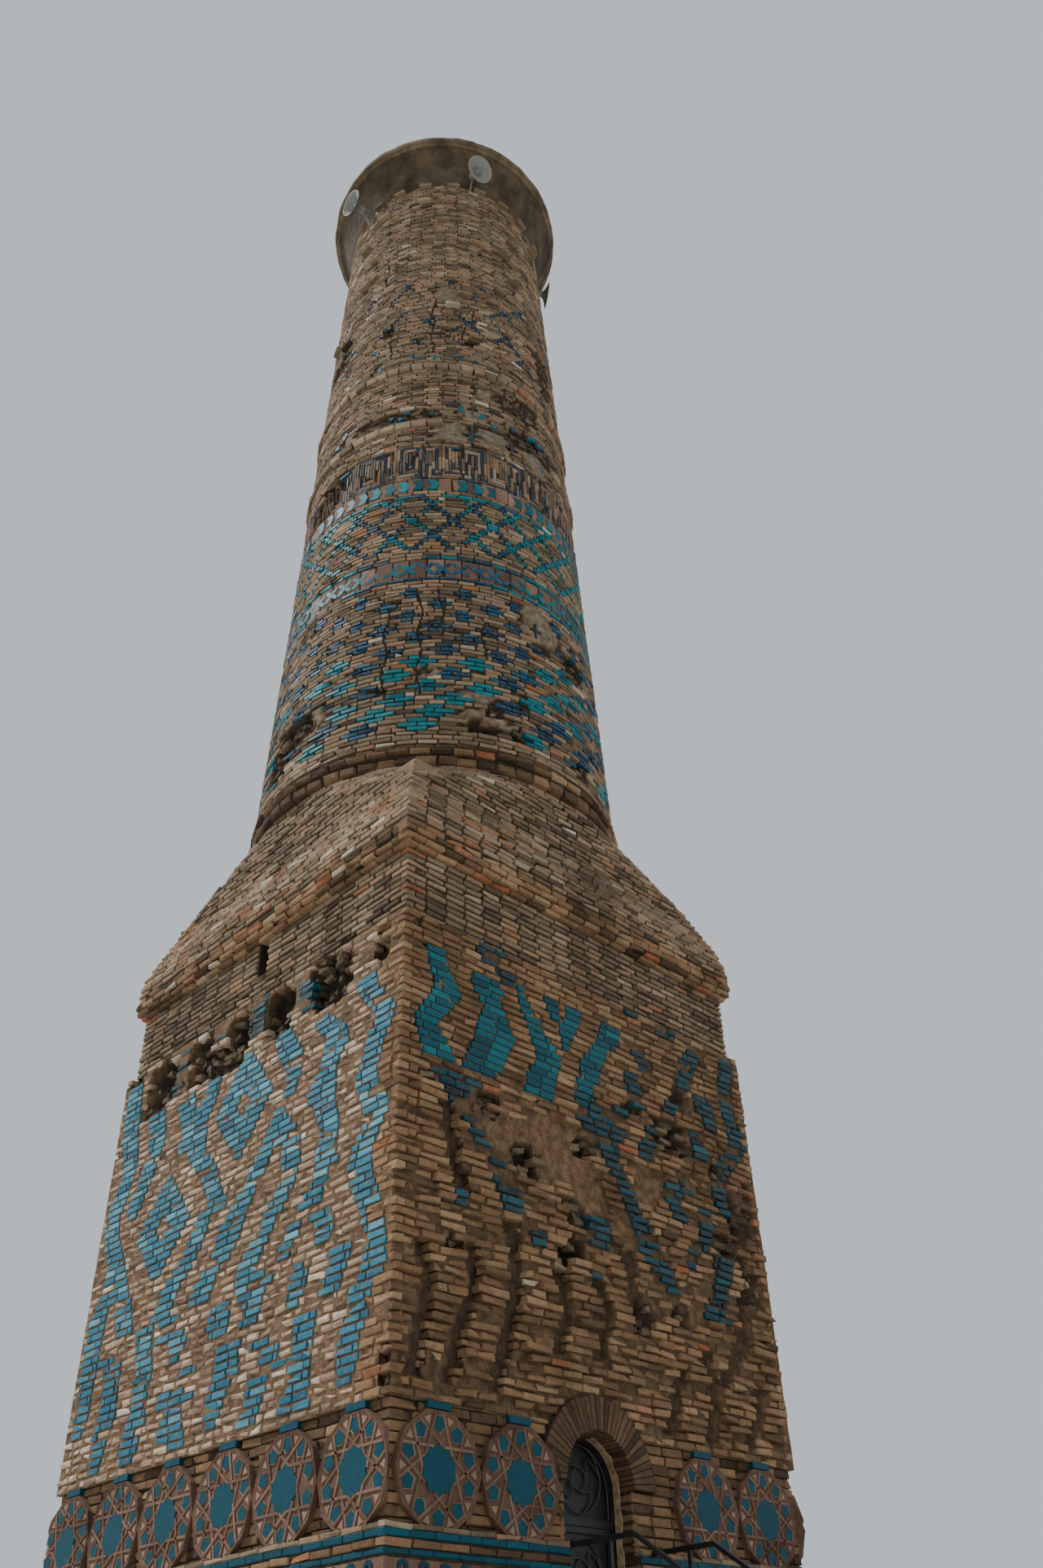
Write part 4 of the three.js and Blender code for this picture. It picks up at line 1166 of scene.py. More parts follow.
def walked(outline, unit, offset):
    """Places along a closed outline, a brick apart: (x, y, direction that it faces), and the step."""
    angles = np.linspace(-math.pi, math.pi, STEPS + 1)
    points = np.array([(outline(a) * math.cos(a), outline(a) * math.sin(a)) for a in angles])
    lengths = np.hypot(*np.diff(points, axis=0).T)
    travelled = np.concatenate([[0], np.cumsum(lengths)])
    number = round(travelled[-1] / unit)
    places = []
    for distance in (np.arange(number) + offset) * travelled[-1] / number:
        i = min(int(np.searchsorted(travelled, distance, side="right")) - 1, STEPS - 1)
        share = (distance - travelled[i]) / lengths[i]
        x, y = points[i] + (points[i + 1] - points[i]) * share
        dx, dy = (points[(i + 3) % STEPS] - points[i - 3])
        places.append((x, y, math.atan2(-dx, dy)))
    return places, travelled[-1] / number


# %% Slope courses
SLOPE_COURSE = 0.0704
SLOPE_NUMBER = round((DRUM_TOP - ROLL_TOP) / SLOPE_COURSE)
SLOPE_TALL = SLOPE_COURSE - WIDE_JOINT

slope_bricks = []
for course in range(SLOPE_NUMBER):
    low = ROLL_TOP + (DRUM_TOP - ROLL_TOP) * course / SLOPE_NUMBER
    z = low + SLOPE_COURSE / 2
    if low < RIDGE_END - 0.01:
        if low < SLOPE_START:
            half = ROLL_HALF + (SLOPE_HALF - ROLL_HALF) * (low - ROLL_TOP) / (SLOPE_START - ROLL_TOP)
        else:
            half = SLOPE_HALF + (RIDGE_HALF - SLOPE_HALF) * (low - SLOPE_START) / (RIDGE_END - SLOPE_START)
        half += PROUD
        for order, face in enumerate(FACE_ORDER):
            reach, half_start = corner_ends(course, order, half)
            # the left face's slope bricks are drawn paler, tone 0.68 against 0.54: painted sunlight on the
            # lit side
            straight(slope_bricks, face, z, reach, half, SLOPE_TALL, WIDE_JOINT, half_start=half_start,
                     deep=DEEP + 0.03, shade=(0.68 if face == "left" else 0.54, 0.17), rough=0.005)
    else:
        part = (low - RIDGE_END) / (DRUM_TOP - RIDGE_END)
        half = RIDGE_HALF + (DRUM_RADIUS - RIDGE_HALF) * part
        corner = max(0.03, DRUM_RADIUS * part)
        places, unit = walked(lambda a: corner_outline(a, half + PROUD, corner), UNIT, 0.5 * (course % 2))
        for x, y, facing in places:
            out = x * math.cos(facing) + y * math.sin(facing) + dice.normal(0, 0.005)
            side = -x * math.sin(facing) + y * math.cos(facing)
            slope_bricks.append((side, out, z, facing, unit - WIDE_JOINT, SLOPE_TALL, DEEP + 0.06,
                                 tone(0.50, 0.16)))
# the ridge of the near corner stands on as a stub of a few courses
for course in range(6):
    reach = RIDGE_HALF + 0.012 - 0.022 * course
    face, side = ("front", 0.125 - reach) if course % 2 else ("left", reach - 0.125)
    slope_bricks.append((side, reach, RIDGE_END + 0.02 + SLOPE_COURSE * course, FACES[face], 0.25,
                         SLOPE_COURSE - JOINT, 0.45, tone(0.6)))
lay("bricks_slope", slope_bricks, fired_brick, 23, ragged=0.004)

# %% Roll moulding and rings
MOULDING_ROWS = ((NECK_TOP - 0.068, NECK_TOP - 0.010, 2.475), (NECK_TOP - 0.014, 9.085, 2.515),
                 (9.085, 9.165, 2.532), (9.165, 9.245, 2.520))
BED = 0.010  # the joint under a course of the moulding or of a ring

mouldings = []
for face in FACE_ORDER:
    for row, (z_low, z_high, out) in enumerate(MOULDING_ROWS):
        straight(mouldings, face, (z_low + z_high) / 2, out, out, z_high - z_low - BED, 0.014,
                 half_start=row % 2 == 0, unit=0.25, deep=0.14, shade=(0.45, 0.22),
                 lost=0.06 if row == 3 else 0.0)
lay("bricks_roll_moulding", mouldings, earthy_and_shaded_brick, 24, ragged=0.005, soft=2.2)


def ring(store, z_low, z_high, radius, number, deep, middle, turn=0.0, spread=0.17, keep=1.0):
    """A ring of bricks set round a circle."""
    unit = 2 * math.pi * radius / number
    for i in range(number):
        if keep < 1 and dice.random() > keep:
            continue
        angle = turn + 2 * math.pi * i / number
        store.append((0.0, radius + dice.normal(0, 0.005), (z_low + z_high) / 2, angle, unit - JOINT,
                      z_high - z_low - BED, deep, tone(middle, spread)))


ring_bricks = []
ring(ring_bricks, DRUM_TOP - 0.012, RING_SPLIT - 0.004, RING_LOW_RADIUS + 0.055, 62, 0.16, 0.22, spread=0.14)
ring(ring_bricks, RING_SPLIT + 0.032, RINGS_TOP - 0.080, RING_HIGH_RADIUS + 0.050, 58, 0.18, 0.28, 0.02, 0.24)
ring(ring_bricks, RINGS_TOP - 0.080, RINGS_TOP - 0.006, RING_HIGH_RADIUS + 0.018, 60, 0.14, 0.20, 0.07,
     keep=0.9)
lay("bricks_rings", ring_bricks, earthy_and_shaded_brick, 25, ragged=0.006, soft=3.6, chips=0.2)

# %% [markdown]
# ## The shaft
# Sixty bricks go round the lower shaft in each course. The glazed figures follow that bond: a lozenge is
# one brick, then two, then one again, and each row of lozenges sits half a step from the row below it.
# Above come a frieze between two glazed lines, a lattice, a band of arrowheads and a fret. The upper
# lattice is thin, dark and badly damaged.

# %% Shaft core
SHAFT_COLUMNS = 216
LEVEL = 0.07
CEMENT = 0.2  # a mark above this is a patch of cement


def round_place(index, z, radius):
    angle = 2 * math.pi * index / SHAFT_COLUMNS
    return Vector((math.cos(angle) * radius, math.sin(angle) * radius, z))


def shaft_skin(index, z):
    place = round_place(index, z, shaft_radius(z))
    inset, worn = 0.026 + 0.006 * noise.noise(place * 9), 0.85
    turned = (2 * math.pi * index / SHAFT_COLUMNS - NEAR_CORNER + math.pi) % (2 * math.pi) - math.pi
    gone = lost_depth("shaft", turned * ARC, z)
    if lost_depth("shaft_cement", turned * ARC, z) > CEMENT:
        inset, worn = -0.004 + 0.007 * noise.noise(place * 6), SOUND
    # the deeper a hole, the darker its mortar is painted, as shade
    if gone > LEAST_LOSS:
        inset, worn = max(inset, gone + 0.02 * noise.noise(place * 14)), min(DEEP_HOLE, 0.75 + gone * 2)
    return round_place(index, z, shaft_radius(z) - inset), worn


def shaft_well(index, z):
    return round_place(index, z, WELL), INNER_WALL


for part, low, high in (("lower", RINGS_TOP, SHAFT_SPLIT), ("upper", SHAFT_SPLIT, SHAFT_TOP)):
    core(f"core_shaft_{part}", SHAFT_COLUMNS, levels(low, high, LEVEL), shaft_skin, shaft_well,
         [f"shaft_{part}_{side}" for side in FACE_ORDER])

# %% Shaft patterns
AROUND = 60
LOZENGE_FIRST = 3
# The lozenges stand 18 degrees apart, and each row starts a little off the half step that it should take
LOZENGE_STEP = 18
LOZENGE_STARTS = (-6, -1, 5, -4, 4, -6.5, 1.5, -8, -1, -10.5, 0, -9.5)
# Where the lozenges of the near side are turquoise, row by row; the others are cobalt
TURQUOISE = ((-42, -6, 30), (-19, -1), (-31, -13, 5), (-4, 14, 32, 50), (-32, -14, 40), (-42, -6, 11, 47),
             (-34, 37, 55), (46,))


def around(degrees):
    """The same direction between -180 and 180 degrees."""
    return (degrees + 180) % 360 - 180


def lattice_runs(z, z_low, at, pitch, rise, width, kinds):
    """Runs of two families of slanting lines at a height, in degrees from the near side."""
    runs = []
    shift = (z - z_low) / rise * pitch / 2
    for i in range(round(360 / pitch)):
        for sign in (-1, 1):
            middle = around(at + pitch * i + sign * shift)
            runs.append((middle - width / 2, middle + width / 2, kinds(middle, z)))
    return runs


def blue_or_green(middle, z):
    """The right of the shaft kept its turquoise, the middle is mostly cobalt."""
    chance = wave(middle * 0.09, z * 2.3, 4.0)
    if middle < 10 and wave(middle * 0.3, z * 7, 2.0) < -0.33:
        return "plain"
    return "new" if middle > 24 or middle < -34 or chance > 0.08 else "blue"


def faded_blue(middle, z):
    """In the upper lattice cobalt is left, and clay where the glaze has gone."""
    return "blue" if wave(middle * 0.13, z * 3.1, 6.0) > -0.12 else "plain"


def lozenge_runs(course):
    """Three courses make a row of lozenges: one brick, two bricks, one brick. Higher up they get smaller."""
    row, line = divmod(course - LOZENGE_FIRST, 3)
    if row not in range(len(LOZENGE_STARTS)):
        return []
    half = (3.0 if row < 6 else 2.5 if row < 9 else 1.9) * (2 if line == 1 else 1)
    runs = []
    for i in range(360 // LOZENGE_STEP):
        middle = around(LOZENGE_STARTS[row] + LOZENGE_STEP * i)
        if abs(middle) < 60:
            bright = row < len(TURQUOISE) and any(abs(middle - place) < 5 for place in TURQUOISE[row])
        else:
            bright = wave(middle * 0.11, row * 0.9, 1.0) > (-0.1 if row < 7 else 0.4)
        runs.append((middle - half, middle + half, "new" if bright else "blue"))
    return runs


# %% Bricks of the shaft
FRIEZE = (14.13, 14.49)
FRET = (16.28, 17.10)
ARROWS = (15.98, 16.27)
LEDGE_LOW = (17.52, SHAFT_SPLIT)

# Cracks: (degrees, foot, top)
CRACKS = ((-6.2, 12.0, 13.9), (-17.3, 12.0, 13.6), (14.6, 12.7, 13.4), (8.0, 16.2, 17.7), (26.3, 16.2, 17.7),
          (44.0, 16.2, 17.7), (-8.0, 16.2, 17.1), (-5.0, 19.6, 21.5), (-25.0, 19.6, 20.7), (14.5, 20.3, 21.0),
          (9.3, 20.0, 20.8), (0.5, 13.2, 13.9), (38.0, 18.0, 18.9), (-31.0, 22.0, 23.0))
CRACK_WIDTH = 0.030
LEAST_PART = 0.02
SHAFT_STUBS = 0.7  # how many lost bricks leave a stub


def store():
    return {kind: [] for kind in ("plain", "new", "blue", "rubble")}


def set_round(bricks, z, middle, length, tall, kind, radius, deep=DEEP):
    """Puts one brick of the shaft in its store, in two parts where a crack runs through it."""
    parts = [(middle, length)]
    for place, z_low, z_high in CRACKS:
        if z_low < z < z_high:
            offset = math.radians(place + 0.8 * math.sin(z * 9) - middle) * radius
            if abs(offset) < length / 2:
                left, right = length / 2 + offset - CRACK_WIDTH / 2, length / 2 - offset - CRACK_WIDTH / 2
                parts = [(middle + math.degrees((left - length) / 2 / radius), left),
                         (middle + math.degrees((length - right) / 2 / radius), right)]
                break
    for where, size in parts:
        if size > LEAST_PART:
            set_part(bricks, z, where, size, tall, kind, radius, deep)


def set_part(bricks, z, middle, length, tall, kind, radius, deep):
    u, angle = math.radians(middle) * ARC, NEAR_CORNER + math.radians(middle)
    gone = lost_depth("shaft", u, z)
    if gone > LEAST_LOSS:
        if dice.random() < SHAFT_STUBS:
            bricks["rubble"].append(stump(0.0, radius, gone, z, angle, length, tall, deep))
    elif lost_depth("shaft_cement", u, z) <= CEMENT:
        bricks[kind].append((0.0, radius + dice.normal(0, 0.004), z, angle, length, tall, deep, tone()))


def set_course(bricks, course, z, runs, unit, tall):
    """A whole course round the shaft; the places of its bricks are degrees, their lengths metres."""
    radius = shaft_radius(z)
    for a, b, kind in cut_course(-180.0, 180.0, runs, course % 2 == 1, unit):
        length = math.radians(b - a) * radius - JOINT
        if length > LEAST_LENGTH:
            set_round(bricks, z, (a + b) / 2, length, tall, kind, radius)


# %% Lower shaft
LOW_COURSES = 92
LOW_COURSE = (SHAFT_SPLIT - RINGS_TOP) / LOW_COURSES
LATTICE = (14.70, 15.82)
GLAZED_LINES = (14.09, 14.52, 15.90)
print("shaft course", round(LOW_COURSE, 4))

shaft_store = store()
for course in range(LOW_COURSES):
    z = RINGS_TOP + LOW_COURSE * (course + 0.5)
    if any(low < z < high for low, high in (FRIEZE, FRET, ARROWS, LEDGE_LOW)):
        continue
    if LATTICE[0] < z < LATTICE[1]:
        runs = lattice_runs(z, LATTICE[0], 4.5, 15.0, 0.323, 2.9, blue_or_green)
    elif min(abs(z - line) for line in GLAZED_LINES) < LOW_COURSE / 2:
        runs = [(start, start + 6, blue_or_green(start, z)) for start in range(-180, 180, 6)]
    else:
        runs = lozenge_runs(course)
    set_course(shaft_store, course, z, runs, 360 / AROUND, LOW_COURSE - JOINT)

# %% Upper shaft
UP_COURSES = 104
UP_COURSE = (SHAFT_TOP - SHAFT_SPLIT) / UP_COURSES
UP_AROUND = 54
UPPER_LATTICE = (19.72, 21.75)

upper_store = store()
for course in range(UP_COURSES):
    z = SHAFT_SPLIT + UP_COURSE * (course + 0.5)
    if LEDGE_HIGH < z < LEDGE_HIGH + 0.13:
        continue
    runs = []
    if UPPER_LATTICE[0] < z < UPPER_LATTICE[1]:
        runs = [run for run in lattice_runs(z, 19.75, -8.3, 20.0, 0.385, 2.4, faded_blue)
                if wave(run[0] * 0.06, z * 1.3, 9.0) > 0.02]
    set_course(upper_store, course, z, runs, 360 / UP_AROUND, UP_COURSE - JOINT)

# %% Ledges and corbels
LEDGE_GAP = 0.92  # radians from the near side over which the lower ledge has fallen away
# Corbel bricks: height, and the degrees at which they stand on the near side and on the far one
CORBELS = ((25.24, (-60, -42, -28, -12, 4, 20, 36, 52, 70)), (24.66, (-38, -12, 1, 45, 62, -60)),
           (23.90, (-50, -27, -1, 6, 40)), (23.20, (-41, -8, 18, 31, 40)), (22.45, (-46, -40, 38)),
           (21.35, (-68, 10)), (20.95, (-55, 4)))

ledges = []
ring(ledges, LEDGE_LOW[0], LEDGE_LOW[1] - 0.010, shaft_radius(SHAFT_SPLIT) + 0.050, 54, 0.17, 0.55)
ledges = [row for row in ledges if (row[3] - NEAR_CORNER) % (2 * math.pi) >= LEDGE_GAP]
ring(ledges, LEDGE_HIGH - 0.01, LEDGE_HIGH + 0.135, shaft_radius(LEDGE_HIGH) + 0.045, 66, 0.17, 0.55)
backing = []
ring(backing, *FRIEZE, shaft_radius(14.3) - 0.004, 60, 0.06, 0.55)
ring(backing, *ARROWS, shaft_radius(16.1) - 0.004, 64, 0.06, 0.7)
for z, spots in CORBELS:
    for spot in (*spots, *(spot + 180 for spot in spots)):
        ledges.append((0.0, shaft_radius(z) + 0.085, z, NEAR_CORNER + math.radians(spot), 0.23, 0.062, 0.22,
                       tone(0.5)))

# %% Cutting the fret into strips
# One repeat of a plain key pattern: # is a clay strip, . is a glazed strip.
FRET_ROWS = (
    "##############",
    "#............#",
    "#.####.#####.#",
    "#.#..#.#...#.#",
    "#.#.##.#.#.#.#",
    "#.#.#..#.#.#.#",
    "#.#.#.##.#.#.#",
    "#.#.#.#..#.#.#",
    "#.#.#.#.##.#.#",
    "#.#.#.#.#..#.#",
    "#.#...#.#.##.#",
    "#.#####.#.#..#",
    "#.......#.#.##",
    "#########.#...",
    "..........####",
)
FRET_COLUMNS = len(FRET_ROWS[0])
LONGEST_STRIP = 5


def fret_strips():
    """Cuts the key pattern into strips: (column, row, width, height, letter)."""
    todo = {(r, c): letter for r, row in enumerate(FRET_ROWS) for c, letter in enumerate(row)}
    strips = []
    while todo:
        r, c = min(todo)
        letter = todo[r, c]
        wide = high = 1
        while todo.get((r, c + wide)) == letter:
            wide += 1
        while todo.get((r + high, c)) == letter:
            high += 1
        if wide >= high:
            high, wide = 1, min(wide, LONGEST_STRIP)
        else:
            wide, high = 1, min(high, LONGEST_STRIP)
        for i in range(high):
            for j in range(wide):
                del todo[r + i, c + j]
        strips.append((c, r, wide, high, letter))
    return strips


# %% Fret
FRET_REPEATS = 20
FRET_CELL = (FRET[1] - FRET[0]) / len(FRET_ROWS)
FRET_DEGREES = 360 / (FRET_REPEATS * FRET_COLUMNS)

fret_store = store()
strips = fret_strips()
for repeat in range(FRET_REPEATS):
    for c, r, wide, high, letter in strips:
        z = FRET[1] - FRET_CELL * (r + high / 2)
        middle = -180 + FRET_DEGREES * (repeat * FRET_COLUMNS + c + wide / 2)
        radius = shaft_radius(z)
        clay = letter == "#" or dice.random() < 0.16
        gap, out = (0.004, 0.0) if clay else (0.020, -0.006)
        kind = "plain" if clay else "new" if dice.random() < 0.2 else "blue"
        if dice.random() < 0.04:
            continue
        set_round(fret_store, z, middle, math.radians(FRET_DEGREES * wide) * radius - gap,
                  FRET_CELL * high - gap, kind, radius + out, 0.06)
fret_store["plain"] = [(*row[:-1], tone(0.8, 0.05) if dice.random() < 0.4 else tone(0.3, 0.15))
                       for row in fret_store["plain"]]

# %% Laying the shaft
lay("bricks_shaft_lower", shaft_store["plain"], fired_brick, 31)
lay("bricks_shaft_upper", upper_store["plain"], fired_brick, 32, ragged=0.004)
lay("bricks_shaft_rubble", shaft_store["rubble"] + upper_store["rubble"] + fret_store["rubble"], fired_brick,
    33, ragged=0.008, skew=0.12)
lay("glazed_shaft_turquoise", shaft_store["new"] + upper_store["new"], shaft_glaze, 34,
    ragged=0.002)
lay("glazed_shaft_cobalt", shaft_store["blue"] + upper_store["blue"], blue_glaze, 35)
for name, kind, glaze, slot, seed in (("fret_clay", "plain", fired_brick, "brick", 36),
                                      ("fret_cobalt", "blue", blue_glaze, "cobalt_glaze", 37),
                                      ("fret_turquoise", "new", dark_glaze, "turquoise_glaze", 39)):
    lay(name, fret_store[kind], glaze, seed, ragged=0.0015, chips=0.1)
lay("bricks_ledges", ledges, fired_brick, 38, ragged=0.005, soft=2.0)
lay("frieze_backing", backing, terracotta, 40, ragged=0.002)

# %% [markdown]
# ## Tiles from plates and bars
# The tiles of the friezes and medallions are cut plates, so two makers are enough for nearly all of them: a
# plate with straight sides and a bar between two points. Both start from a bmesh operator, lie on a face
# with x to the right and z up, and reach along y into the wall.


# %% Plates and bars on a face
def pushed(shape, faces, depth):
    """Extrudes faces into the wall and leaves the front where it was."""
    grown = bmesh.ops.extrude_face_region(shape, geom=faces, use_keep_orig=True)["geom"]
    bmesh.ops.translate(shape, vec=(0, depth, 0), verts=only(bmesh.types.BMVert, grown))


def plate(shape, sides, radius, centre, turned, front, back, notch=1.0):
    """A plate: a capped circle, stood up, turned and extruded; notch draws in every second corner."""
    made = bmesh.ops.create_circle(shape, cap_ends=True, segments=sides, radius=radius)["verts"]
    for vertex in made[1::2]:
        vertex.co *= notch
    place = (Matrix.Translation((centre[0], front, centre[1]))
             @ Matrix.Rotation(-math.radians(turned), 4, "Y") @ Matrix.Rotation(math.pi / 2, 4, "X"))
    bmesh.ops.transform(shape, matrix=place, verts=made)
    face = made[0].link_faces[0]
    pushed(shape, [face], back - front)
    return face


def sink(shape, face, border, depth):
    """Insets a plate's front and pushes the middle in, so that a border is left."""
    bmesh.ops.inset_region(shape, faces=[face], thickness=border, use_boundary=True, use_even_offset=True)
    bmesh.ops.translate(shape, vec=(0, depth, 0), verts=list(face.verts))


def bar(shape, start, end, width, front, back, taper=1.0):
    """A straight bar between two points of the face, wider at its far end if asked."""
    along = Vector((end[0] - start[0], end[1] - start[1]))
    middle = ((start[0] + end[0]) / 2, (front + back) / 2, (start[1] + end[1]) / 2)
    turned = Matrix.Rotation(-math.atan2(along.y, along.x), 4, "Y")
    return block(shape, middle, (along.length, back - front, width), turned, taper)


def polar(radius, degrees):
    return radius * math.cos(math.radians(degrees)), radius * math.sin(math.radians(degrees))


def on_shaft(degrees, z, proud, turned=0.0):
    """Stands a small plate on the shaft, turned in its own plane."""
    direction = NEAR_CORNER + math.radians(degrees)
    return (Matrix.Rotation(direction + math.pi / 2, 4, "Z")
            @ Matrix.Translation((0, -shaft_radius(z) - proud, z))
            @ Matrix.Rotation(math.radians(turned), 4, "Y"))


# %% [markdown]
# ## Petals, arrowheads and broken mosaic
# The frieze of the shaft is a row of flowers of four petals, each a narrow eight-sided tile. Above the
# lattice runs a band of arrowheads, and bits of an old mosaic are left round the ledges. Each is modelled
# once, lying on a flat face, and a matrix stands its copies on the round shaft. Iron ties sit in the cement
# patches over the cracks.

# %% Petals of the frieze
PETAL_CELLS = 60
FRIEZE_MIDDLE = 14.305

petal_shape = bmesh.new()
plate(petal_shape, 8, 1.0, (0, 0), 0.0, 0.0, 0.03)
bmesh.ops.scale(petal_shape, vec=(0.073, 1, 0.033), verts=petal_shape.verts)
petal = finished(petal_shape, "petal")
petals = {"cobalt": [], "turquoise": []}
for cell in range(PETAL_CELLS):
    degrees = around(6 * cell) + 1
    glaze = "cobalt" if -9 < degrees < 29 or wave(cell * 0.2, 5, 0) > 0.25 else "turquoise"
    for side, upward in ((-1.4, -0.056), (-1.4, 0.056), (1.4, -0.056), (1.4, 0.056)):
        if dice.random() < 0.94:
            turned = -45 * side * upward / 0.0784
            petals[glaze].append(on_shaft(degrees + side, FRIEZE_MIDDLE + upward, 0.004, turned))
scatter("frieze_petals_cobalt", petal, petals["cobalt"], blue_glaze, 0.7)
scatter("frieze_petals_turquoise", petal, petals["turquoise"], shaft_glaze, 0.35)

# %% Arrowheads
ARROW_COUNT = 64
ARROW_TIP = 0.050

arrow_shape = bmesh.new()
bmesh.ops.create_grid(arrow_shape, x_segments=1, y_segments=2, size=1)
bmesh.ops.scale(arrow_shape, vec=(0.058, 0.104, 1), verts=arrow_shape.verts)
tip = [vertex for vertex in arrow_shape.verts if abs(vertex.co.y) < 0.01]
bmesh.ops.translate(arrow_shape, vec=(ARROW_TIP, 0, 0), verts=tip)
bmesh.ops.rotate(arrow_shape, matrix=Matrix.Rotation(math.pi / 2, 3, "X"), verts=arrow_shape.verts)
pushed(arrow_shape, arrow_shape.faces[:], 0.03)
arrow = finished(arrow_shape, "arrow")
arrows = [on_shaft(2 + 360 / ARROW_COUNT * i, 16.115, 0.006) for i in range(ARROW_COUNT)
          if dice.random() < 0.95]
scatter("shaft_arrowheads", arrow, arrows, shaft_glaze, 0.4, 0.25)

# %% Mosaic and iron ties
bit_shape = bmesh.new()
plate(bit_shape, 3, 0.062, (0, 0), 0.0, 0.0, 0.04)
bit = finished(bit_shape, "bit")
bits = {"turquoise": [], "cobalt": []}
for low, high, number in ((17.74, 18.08, 64), (19.36, 19.52, 26), (17.30, 17.50, 6)):
    for _ in range(number):
        place = on_shaft(dice.uniform(-180, 180), dice.uniform(low, high), 0.010, dice.uniform(0, 120))
        bits["turquoise" if dice.random() < 0.5 else "cobalt"].append(place)
scatter("mosaic_bits_turquoise", bit, bits["turquoise"], shaft_glaze, 0.3)
scatter("mosaic_bits_cobalt", bit, bits["cobalt"], blue_glaze, 0.7)

tie_shape = bmesh.new()
bar(tie_shape, (0, -0.5), (0, 0.5), 0.10, 0.0, 0.04)
bar(tie_shape, (-0.36, 0.0), (0.36, 0.0), 0.10, 0.003, 0.04)
tie = finished(tie_shape, "tie")
ties = [on_shaft(degrees, z, 0.022) @ Matrix.Diagonal((size, 1, size, 1)) for degrees, z, size in (
    (12.0, 17.38, 0.42), (29.5, 17.38, 0.30), (34.0, 13.53, 0.26), (12.5, 18.06, 0.22))]
scatter("iron_ties", tie, ties, black_iron)

# %% [markdown]
# ## Medallions
# Each medallion is a cut terracotta decagon: a raised border, straps that run out from a ten-pointed star
# between ten pentagons, and glazed tiles in the star and the pentagons. The straps lie on ten lines at one
# distance from the middle, which is what makes the star's points. It is made once with bmesh operators,
# a capped circle extruded and inset, and copied into the rows. Boolean cuts would give the same look with
# far more faces. At the corners a bisecting plane mitres the end ones against the next face.

# %% One medallion
MEDALLION_RADIUS = 0.421
STAR_TIP = 0.174
STAR_NOTCH = 0.851  # how far the corners between the tips are drawn in
STRAP_AT = STAR_TIP * math.cos(math.radians(36)) + 0.013
STRAP_WIDTH = 0.020
PENTAGON_AT = 0.312
BED_AT = 0.021      # how deep the tiles and straps reach

clay_shape = bmesh.new()
tint_layer = clay_shape.verts.layers.float.new("tint")
disc = plate(clay_shape, 10, MEDALLION_RADIUS, (0, 0), 18, 0.0, 0.066)
sink(clay_shape, disc, 0.036, 0.016)
for vertex in clay_shape.verts:
    vertex[tint_layer] = 0.40
for k in range(10):
    x, z = polar(1.0, 18 + 36 * k)
    for sign in (-1, 1):
        ends = [(x * STRAP_AT - z * sign * t, z * STRAP_AT + x * sign * t) for t in (0.052, 0.352)]
        strap = bar(clay_shape, *ends, STRAP_WIDTH, 0.003 + 0.002 * (k % 2) + 0.001 * sign, BED_AT)
        for vertex in strap:
            vertex[tint_layer] = 0.42 + 0.07 * ((k * 3) % 5)
    face = plate(clay_shape, 5, 0.071, polar(PENTAGON_AT, 18 + 36 * k), 108 + 36 * k, 0.004,
                 BED_AT)
    sink(clay_shape, face, 0.007, 0.008)
    plate(clay_shape, 3, 0.040, polar(0.352, 36 * k), 36 * k + 90, 0.009, BED_AT)
for vertex in clay_shape.verts:
    if vertex[tint_layer] == 0:
        vertex[tint_layer] = 0.9
clay_medallion = finished(clay_shape, "clay_medallion")

tile_shape = bmesh.new()
tile_tint = tile_shape.verts.layers.float.new("tint")
plate(tile_shape, 20, STAR_TIP, (0, 0), 0.0, 0.004, BED_AT, STAR_NOTCH)
for k in range(10):
    plate(tile_shape, 5, 0.061, polar(PENTAGON_AT, 18 + 36 * k), 108 + 36 * k, 0.008, BED_AT)
bar(tile_shape, (-0.12, 0.437), (0.12, 0.437), 0.052, 0.004, 0.06)
for vertex in tile_shape.verts:
    vertex[tile_tint] = 0.5
tile_medallion = finished(tile_shape, "tile_medallion")
print("a medallion:", len(clay_medallion.polygons) + len(tile_medallion.polygons), "faces")

# %% Broken straps
STRAP_CORNERS = 8
STRAPS_LOST = 0.10


def islands_of(shape):
    """The separate parts of a bmesh, each as a list of vertices."""
    shape.verts.ensure_lookup_table()
    islands, seen = [], set()
    for vertex in shape.verts:
        if vertex.index in seen:
            continue
        island, queue = [], [vertex]
        seen.add(vertex.index)
        while queue:
            at = queue.pop()
            island.append(at)
            for other in (edge.other_vert(at) for edge in at.link_edges):
                if other.index not in seen:
                    seen.add(other.index)
                    queue.append(other)
        islands.append(island)
    return islands


def aged(shape, rng):
    """Turns a medallion by a few of its ten steps and takes out a few straps that have fallen off."""
    swing = Matrix.Rotation(math.radians(36 * int(rng.integers(0, 10))), 4, "Y")
    bmesh.ops.transform(shape, matrix=swing, verts=shape.verts)
    lost = [part for part in islands_of(shape) if len(part) == STRAP_CORNERS and rng.random() < STRAPS_LOST]
    for strap in lost:
        bmesh.ops.delete(shape, geom=strap, context="VERTS")


# %% Rows of medallions
MEDALLION_Z = 3.483
LEFT_ROW = (-2.094, -1.248, -0.402, 0.444, 1.290, 2.136)
ROWS = {"front": (-2.002, -1.156, 1.104, 1.950), "left": tuple(-y for y in LEFT_ROW),
        "right": LEFT_ROW, "back": LEFT_ROW}


